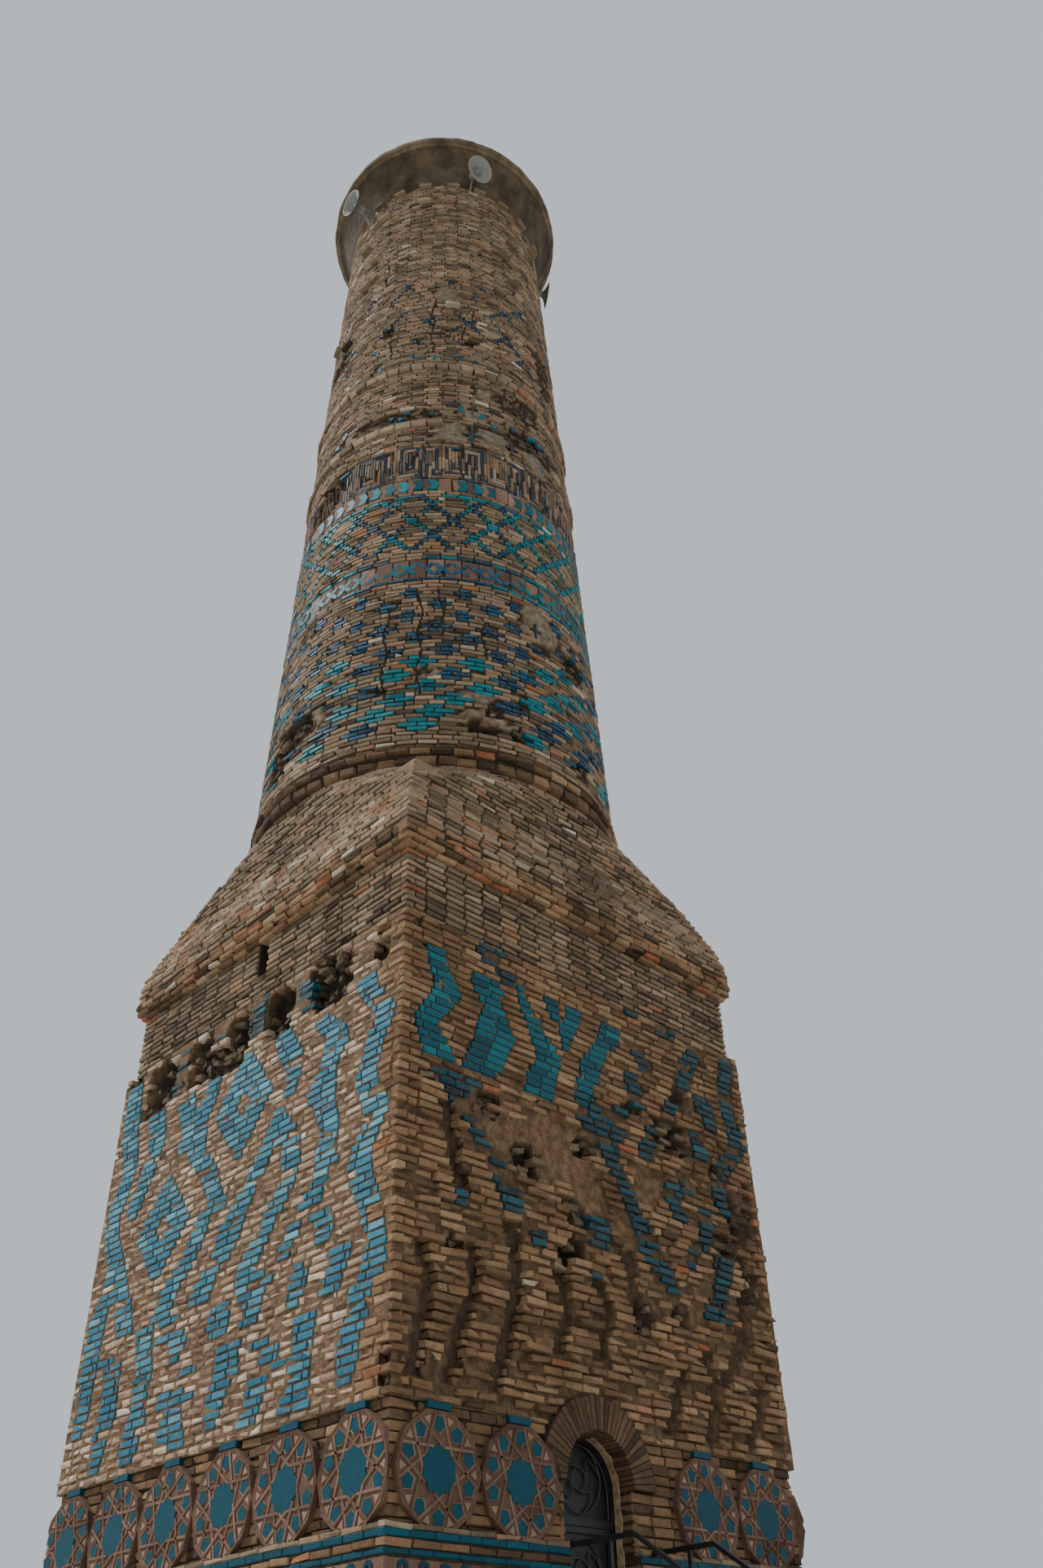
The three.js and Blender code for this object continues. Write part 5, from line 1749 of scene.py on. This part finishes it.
def medallion_rows(master, name, rng=None):
    """Copies the master to every place of the rows and mitres the corners; rng ages the copies."""
    shape = bmesh.new()
    for face in FACE_ORDER:
        row = bmesh.new()
        for u in ROWS[face]:
            one = bmesh.new()
            one.from_mesh(master)
            if rng:
                aged(one, rng)
            bmesh.ops.translate(one, vec=(u, -BAND_HALF, MEDALLION_Z), verts=one.verts)
            join_to(row, one)
        for sign in (-1, 1):
            cut = bmesh.ops.bisect_plane(row, geom=row.verts[:] + row.edges[:] + row.faces[:],
                                         plane_co=(sign * 0.001, 0, 0), plane_no=(sign, 1, 0),
                                         clear_outer=True)["geom_cut"]
            bmesh.ops.holes_fill(row, edges=only(bmesh.types.BMEdge, cut))
        bmesh.ops.rotate(row, matrix=Matrix.Rotation(FACES[face] + math.pi / 2, 3, "Z"), verts=row.verts)
        join_to(shape, row)
    return finished(shape, name)


clay_rows = medallion_rows(clay_medallion, "medallion_clay", np.random.default_rng(5))
piece("medallion_clay", clay_rows, terracotta,
      replaces=[f"medallions_{side}" for side in ("front_left", "front_right", "left", "right", "back")])
piece("medallion_tiles", medallion_rows(tile_medallion, "medallion_tiles"), tile_glaze)

# %% [markdown]
# ## Glazed bands and frieze
# Under the medallions run a projecting course, a band of turquoise tiles with pale joints, a brick course
# and a narrower band. Below these a frieze of clay plates carries a row of glazed curls. The tiles are
# laid like bricks; a curl is a small square profile spun about a centre and drawn thinner to its tail.

# %% Bands
TILE = 0.2445
CURL_STEP = 0.195  # a plate of the frieze carries one curl

band_tiles, band_bricks, frieze_plates = [], [], []
for face in FACE_ORDER:
    for z, tall, unit, rows in ((3.055, 0.053, TILE, band_tiles), (2.942, 0.040, TILE, band_tiles),
                                (2.688, 0.040, TILE, band_tiles), (2.808, 0.190, CURL_STEP, frieze_plates),
                                (3.100, 0.036, 0.25, band_bricks)):
        out = BAND_HALF + (0.006 if rows is frieze_plates else 0.011)
        straight(rows, face, z, BAND_HALF + 0.010, out, tall, 0.006, door_runs(face, z), unit=unit, deep=0.08,
                 shade=(0.5, 0.12), rough=0, least=0.044)
lay("band_tiles", band_tiles, tile_glaze, 41, ragged=0.0008, skew=0.002, chips=0.04)
lay("frieze_plates", frieze_plates, terracotta, 42, ragged=0.001, skew=0.002, chips=0.1)
lay("bricks_under_medallions", band_bricks, fired_brick, 43)

# %% Curls
CURL_RADIUS = 0.036
CURL_WIDE, CURL_PROUD = 0.030, 0.014
TAIL_FROM, TAIL_OVER, TAIL_DROP = 150, 85, 0.05  # from where, over how many degrees and how far it drops

curl_shape = bmesh.new()
profile = bmesh.ops.create_grid(curl_shape, x_segments=1, y_segments=1, size=0.5)["verts"]
place = Matrix.Translation((CURL_RADIUS, 0, 0)) @ Matrix.Diagonal((CURL_WIDE, CURL_PROUD, 1, 1))
bmesh.ops.transform(curl_shape, matrix=place, verts=profile)
bmesh.ops.spin(curl_shape, geom=curl_shape.verts[:] + curl_shape.edges[:] + curl_shape.faces[:],
               cent=(0, 0, 0), axis=(0, 1, 0), angle=math.radians(-TAIL_FROM - TAIL_OVER), steps=9)
bmesh.ops.holes_fill(curl_shape, edges=[edge for edge in curl_shape.edges if edge.is_boundary])
for vertex in curl_shape.verts:
    angle = math.degrees(math.atan2(vertex.co.z, vertex.co.x)) % 360
    drop = max(0.0, (angle - TAIL_FROM) / TAIL_OVER)
    vertex.co.z -= TAIL_DROP * drop * drop
curl = finished(curl_shape, "curl")

curl_rows = bmesh.new()
for face in FACE_ORDER:
    for i in range(25):
        u = -2.34 + CURL_STEP * i
        if face == "front" and DOOR_LEFT - 0.08 < u < DOOR_RIGHT + 0.08:
            continue
        before = len(curl_rows.verts)
        curl_rows.from_mesh(curl)
        curl_rows.verts.ensure_lookup_table()
        place = (Matrix.Rotation(FACES[face] + math.pi / 2, 4, "Z")
                 @ Matrix.Translation((u, -BAND_HALF - 0.009, 2.845)))
        bmesh.ops.transform(curl_rows, matrix=place, verts=curl_rows.verts[before:])
piece("frieze_curls", finished(curl_rows, "frieze_curls"), tile_glaze)

# %% [markdown]
# ## Door arch and jambs
# A half round of bricks on end, each a little wider at its outer end, springs over the door. The nearest
# medallion cuts into its left foot. Seen from below, the inner ends of the ring's bricks and the sides of
# the jamb bricks show, so both stand a little proud of the solids. Inside, a strip of yellowish plaster
# still lines the opening beside the door frame.

# %% Ring of bricks on end
ARCH_BRICKS = 33
ARCH_BRICK_WIDTH = 0.031
ARCH_DEEP = 0.21
NEXT_MEDALLION = ROWS["front"][1]
CLEAR_OF_IT = 0.435  # how far from the medallion's middle a brick of the ring may come

arch_shape = bmesh.new()
arch_tint = arch_shape.verts.layers.float.new("tint")
for i in range(ARCH_BRICKS):
    angle = 180 * (i + 0.5) / ARCH_BRICKS
    inner = ARCH_INNER - dice.uniform(0.002, 0.008)
    reach = ARCH_INNER + ARCH_RING - dice.uniform(0, 0.02)
    while True:
        ends = [(ARCH_CENTRE + x, ARCH_SPRING + z) for x, z in (polar(inner, angle), polar(reach, angle))]
        if math.hypot(ends[1][0] - NEXT_MEDALLION, ends[1][1] - MEDALLION_Z) > CLEAR_OF_IT:
            break
        reach -= 0.01
    front = -dice.uniform(0.002, 0.012)
    far_width = ARCH_BRICK_WIDTH + 0.026 * (reach - ARCH_INNER) / ARCH_RING
    made = bar(arch_shape, *ends, ARCH_BRICK_WIDTH, front, ARCH_DEEP, far_width / ARCH_BRICK_WIDTH)
    shade = tone(0.22, 0.06)
    for vertex in made:
        vertex[arch_tint] = shade
bmesh.ops.bevel(arch_shape, geom=arch_shape.edges[:], offset=0.005, offset_type="OFFSET", segments=1,
                profile=0.5, affect="EDGES", material=-1)
bmesh.ops.translate(arch_shape, vec=(0, -BODY_HALF, 0), verts=arch_shape.verts)
piece("arch_bricks", finished(arch_shape, "arch_bricks"), earthy_and_shaded_brick)

# %% Jamb bricks
JAMB_COURSE = 0.0735
JAMB_ENDS = (2.300, 2.284)  # where they end inside the wall, by turns

jambs = []
for course in range(21):
    z = FLOOR + JAMB_COURSE * (course + 0.5)
    outer = (BAND_HALF if z < BAND_TOP else MEDALLION_WALL_HALF + PROUD) - 0.006
    deep = outer - JAMB_ENDS[course % 2]
    for angle, x, sign in ((math.pi, -DOOR_RIGHT, 1), (0.0, DOOR_LEFT, -1)):
        jambs.append((sign * (outer - deep / 2), x + 0.004 + dice.normal(0, 0.002), z, angle, deep,
                      JAMB_COURSE - JOINT, 0.05, tone(0.30, 0.10)))
lay("bricks_door_jambs", jambs, earthy_and_shaded_brick, 44)

# %% Plaster in the door opening
PLASTER_RADIUS = ARCH_INNER - 0.009
PLASTER_WIDTH = 0.07
PLASTER_ENDS = 78  # degrees up the arch

lining = bmesh.new()
bmesh.ops.create_grid(lining, x_segments=36, y_segments=5, size=1)
for vertex in lining.verts:
    run, depth = (vertex.co.x + 1) / 2, (vertex.co.y + 1) / 2
    ragged = 0.03 * wave(run * 14, 3.0, 1.0)
    if run < 0.5:
        x, z = PLASTER_RADIUS, -1.0 + run * 2.0
    else:
        x, z = polar(PLASTER_RADIUS, (run - 0.5) * 2 * PLASTER_ENDS)
    vertex.co = (ARCH_CENTRE + x, -DOOR_RECESS - depth * (PLASTER_WIDTH + ragged), ARCH_SPRING + z)
bmesh.ops.recalc_face_normals(lining, faces=lining.faces)
bmesh.ops.solidify(lining, geom=lining.faces[:], thickness=0.012)
piece("door_plaster", finished(lining, "door_plaster"), yellow_plaster)

# %% [markdown]
# ## Ironwork
# The fanlight holds a large ring with a small ring in it and four curling arms between them, and the leaf
# repeats it twice. A smith bends such scrolls from bar on edge. Here they are curves with a round bevel,
# made a mesh before they take their place, because that keeps the bend smooth and the section even.


# %% Scrolls
SMALL_RING = 0.34  # as a share of the large ring


def rods(name, lines, body, radius=0.007):
    """Joins round bars along lines of points into one mesh piece."""
    data = bpy.data.curves.new(name, "CURVE")
    data.dimensions = "3D"
    data.bevel_depth = radius
    data.bevel_resolution = 2
    data.use_fill_caps = True
    for points, closed in lines:
        spline = data.splines.new("POLY")
        spline.points.add(len(points) - 1)
        for target, point in zip(spline.points, points):
            target.co = (*point, 1)
        spline.use_cyclic_u = closed
    holder = bpy.data.objects.new(name + "_curve", data)
    bpy.context.collection.objects.link(holder)
    mesh = bpy.data.meshes.new_from_object(holder.evaluated_get(bpy.context.evaluated_depsgraph_get()))
    bpy.data.objects.remove(holder)
    mesh.name = name
    return piece(name, mesh, greyer_iron, body)


def scroll_set(x, y, z, size):
    """A ring, a small ring in its middle and four S-shaped arms."""
    def at(radius, angle):
        return x + radius * math.cos(angle), y, z + radius * math.sin(angle)

    lines = [([at(radius, 2 * math.pi * i / sides) for i in range(sides)], True)
             for radius, sides in ((size, 40), (size * SMALL_RING, 20))]
    for quarter in range(4):
        shares = [i / 16 for i in range(17)]
        lines.append(([at(size * (SMALL_RING + 0.62 * t),
                          quarter * math.pi / 2 + 0.75 * math.sin(t * math.pi * 1.15) + 0.5 * t)
                       for t in shares], False))
    return lines


# %% Scrolls in the fanlight and on the leaf
FAN_Y, LEAF_Y = -2.240, -2.232
FAN_RADIUS, FAN_FOOT = 0.335, 3.36

fan_lines = scroll_set(ARCH_CENTRE, FAN_Y, 3.635, 0.255)
fan_arc = [(x, ARCH_SPRING + z) for x, z in (polar(FAN_RADIUS, 180 * i / 24) for i in range(25))]
fan_edge = [(FAN_RADIUS, FAN_FOOT), *fan_arc, (-FAN_RADIUS, FAN_FOOT)]
fan_lines.append(([(ARCH_CENTRE + x, FAN_Y, z) for x, z in fan_edge], False))
rods("fanlight_scrolls", fan_lines, "tower")
rods("door_leaf_scrolls", [line for z in (2.98, 2.36) for line in scroll_set(ARCH_CENTRE, LEAF_Y, z, 0.22)],
     "door")

# %% [markdown]
# ## Concrete cap
# The cap was cast in place over the old shaft: a dish with a rough underside, and a gritty rim where the
# shutter was struck. Its profile is spun round the axis and every corner is then nudged inwards a little.

# %% Cap
CAP_PROFILE = ((0, 25.30), (1.50, 25.30), (1.78, 25.302), (1.83, 25.45), (1.87, 25.60), (1.93, 25.80),
               (2.02, 26.00), (2.11, 26.17), (2.165, 26.20), (2.170, 26.235), (2.215, 26.245), (2.218, 26.30),
               (2.212, 26.36), (2.19, 26.392), (1.2, 26.396), (0, 26.398))
DISH_FROM, RIM_FROM, PALE_FROM = 1.6, 2.1, 2.14  # radii

cap_shape = bmesh.new()
chain(cap_shape, [(radius, 0, z) for radius, z in CAP_PROFILE])
bmesh.ops.subdivide_edges(cap_shape, edges=cap_shape.edges[5:8], cuts=2)
spun(cap_shape, (0, 0, 1), 144, 1e-4)
# past PALE_FROM the rim takes tint 1, painted light that makes it paler than the underside
rim_tint = cap_shape.verts.layers.float.new("tint")
for vertex in cap_shape.verts:
    radius = math.hypot(vertex.co.x, vertex.co.y)
    vertex[rim_tint] = 1.0 if radius > PALE_FROM else 0.0
    if radius > DISH_FROM:
        grain = 0.5 + noise.noise(vertex.co * 3.0) * 0.5 + 0.35 * noise.noise(vertex.co * 11.0)
        share = 1 - max(0.0, grain) * (0.016 if radius > RIM_FROM else 0.009)
        vertex.co.x *= share
        vertex.co.y *= share
piece("cap_dish", finished(cap_shape, "cap_dish"), concrete, replaces=("cap",))

# %% [markdown]
# ## Horn loudspeakers
# Three spun sheet horns look out from under the cap, each on a small steel bracket. A horn's mouth flares
# like a bell, so its profile is a curve, and its edge is rolled. The mouth has a bullet-shaped middle.

# %% Horn profile
HORN_MOUTH = 0.258
HORN_THROAT = 0.055
DRIVER_RADIUS = 0.062


def horn_profile(driver, length):
    """Half the section of a horn, as (along, radius), from the back of its driver round to its middle."""
    tip = length - driver / 2
    flare = []
    for t in (i / 12 for i in range(13)):
        radius = HORN_THROAT + (HORN_MOUTH - HORN_THROAT) * (0.14 * t + 0.86 * t ** 2.4)
        flare.append((driver / 2 + (length - driver) * t, radius))
    back = [(-driver / 2, 0.0), (-driver / 2, 0.050), (0.012 - driver / 2, DRIVER_RADIUS),
            (driver / 2, DRIVER_RADIUS)]
    lip = [(tip, HORN_MOUTH), (tip + 0.005, HORN_MOUTH - 0.002), (tip + 0.002, HORN_MOUTH - 0.008)]
    inner = [(along + 0.002, radius - 0.006) for along, radius in reversed(flare[4:-1])]
    throat = flare[4][0]
    middle = [(throat, 0.048), (throat + 0.045, 0.040), (throat + 0.062, 0.022), (throat + 0.066, 0.0)]
    return tip, back + flare[:-1] + lip + inner + middle


# %% Horns
BRACKET_TOP = 25.080


def horn(name, degrees, tilt, swing, z, out, length):
    """A horn turned down by the tilt and sideways by the swing about its driver, which the bracket holds."""
    shape = bmesh.new()
    tip, profile = horn_profile(length * 0.36, length)
    chain(shape, [(along, 0, radius) for along, radius in profile])
    spun(shape, (1, 0, 0), 36, 1e-5)
    at = Vector((out - tip * math.cos(math.radians(tilt)), 0, z + tip * math.sin(math.radians(tilt))))
    place = (Matrix.Translation(at) @ Matrix.Rotation(math.radians(swing), 4, "Z")
             @ Matrix.Rotation(math.radians(tilt), 4, "Y"))
    bmesh.ops.transform(shape, matrix=place, verts=shape.verts)
    foot = min(BRACKET_TOP, at.z - 0.300)
    for height in (0.01, 0.13):
        begin = Vector((shaft_radius(foot) - 0.02, 0, foot + height))
        along = at - begin
        block(shape, (begin + at) / 2, (along.length, 0.028, 0.008),
              Matrix.Rotation(-math.atan2(along.z, along.x), 4, "Y"))
    bmesh.ops.rotate(shape, matrix=Matrix.Rotation(math.radians(degrees), 3, "Z"), verts=shape.verts)
    shell = name + "_shell"
    made = piece(shell, finished(shape, shell), grey_paint, replaces=(name,))
    for polygon in made.data.polygons:
        polygon.use_smooth = len(polygon.vertices) == 4 and polygon.area < 0.002


horn("horn_front", -116.25, tilt=28, swing=20, z=25.300, out=2.240, length=0.330)
horn("horn_left", 176.25, tilt=10, swing=0, z=25.380, out=2.240, length=0.330)
horn("horn_right", -33.75, tilt=4, swing=0, z=25.120, out=2.060, length=0.200)

# %% [markdown]
# ## Plinth and stair
# Neither is in the photograph. A square plinth of dressed limestone carries the tower, and a flight of
# eleven stone steps climbs to the landing. They are laid like large bricks round a plain core.

# %% Plinth stones
STONE_JOINT = 0.010
PLINTH_COURSES = 3
PLINTH_FACE = PLINTH_HALF - 0.004

stones = []
for course in range(PLINTH_COURSES):
    z_low, z_high = PLINTH_TOP * course / PLINTH_COURSES, PLINTH_TOP * (course + 1) / PLINTH_COURSES
    for order, face in enumerate(FACE_ORDER):
        through = (course + order) % 2 == 0
        straight(stones, face, (z_low + z_high) / 2, PLINTH_FACE if through else PLINTH_HALF - 0.30,
                 PLINTH_FACE, z_high - z_low - STONE_JOINT, STONE_JOINT, half_start=not through, unit=0.72,
                 deep=0.29, shade=(0.5, 0.17), rough=0)

# %% Stair stones
STEPS_UP = 11
STAIR_LEFT, STAIR_RIGHT = -0.76, 0.43
RISER, TREAD, LANDING = FLOOR / STEPS_UP, 0.28, 3.15

for step in range(STEPS_UP):
    front, top = LANDING + TREAD * step - 0.005, FLOOR - RISER * step
    z, deep = top - RISER / 2, TREAD + 0.06 if step else 0.545
    ends = np.linspace(STAIR_LEFT, STAIR_RIGHT, (3 if step % 2 else 2) + 1)
    for a, b in zip(ends, ends[1:]):
        stones.append(((a + b) / 2, front, z, FACES["front"], b - a - 0.006, RISER - 0.004, deep, tone()))
    low, high = 2.605, front - TREAD - 0.06 if step else 2.60
    if high - low > 0.2:
        for face, out, sign in (("left", -STAIR_LEFT, 1), ("right", STAIR_RIGHT, -1)):
            for a, b, _ in cut_course(low, high, [], step % 2 == 1, 0.5):
                stones.append((sign * (a + b) / 2, out - 0.003, z, FACES[face], b - a - STONE_JOINT,
                               RISER - STONE_JOINT, 0.2, tone()))
lay("stones_plinth_and_stair", stones, limestone, 51, ragged=0.0012, skew=0.001, chips=0.3,
    replaces=("stone_plinth", "entrance_stair"))

# %% Core of the plinth and the stair
core_shape = bmesh.new()
corners = [((-2.585, -2.585, 0.0), (2.585, 2.585, 1.09))]
corners += [((STAIR_LEFT + 0.012, -(LANDING + TREAD * step) + 0.012, 0.0),
             (STAIR_RIGHT - 0.012, -2.6, FLOOR - RISER * step - 0.012)) for step in range(STEPS_UP)]
for low, high in corners:
    block(core_shape, [(a + b) / 2 for a, b in zip(low, high)], [b - a for a, b in zip(low, high)])
piece("core_plinth_and_stair", finished(core_shape, "core_plinth_and_stair"), mortar)

# %% Carried-over solids
walls = ("front_wall_left", "front_wall_right", "back_wall", "left_wall", "right_wall", "brick_base",
         "door_arch", *(f"{stage}_{side}" for stage in ("neck", "slope", "rings") for side in FACE_ORDER))
iron = ("handrail_left", "handrail_right", "door_post_left", "door_post_right", "door_leaf", "fanlight")
for material, names in ((mortar, walls), (black_iron, iron)):
    for name in names:
        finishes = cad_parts[name].data.materials
        finishes.clear()
        finishes.append(material)

# %% Sizes
low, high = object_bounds()
print("visual box", [round(v, 3) for v in (*low, *high)])
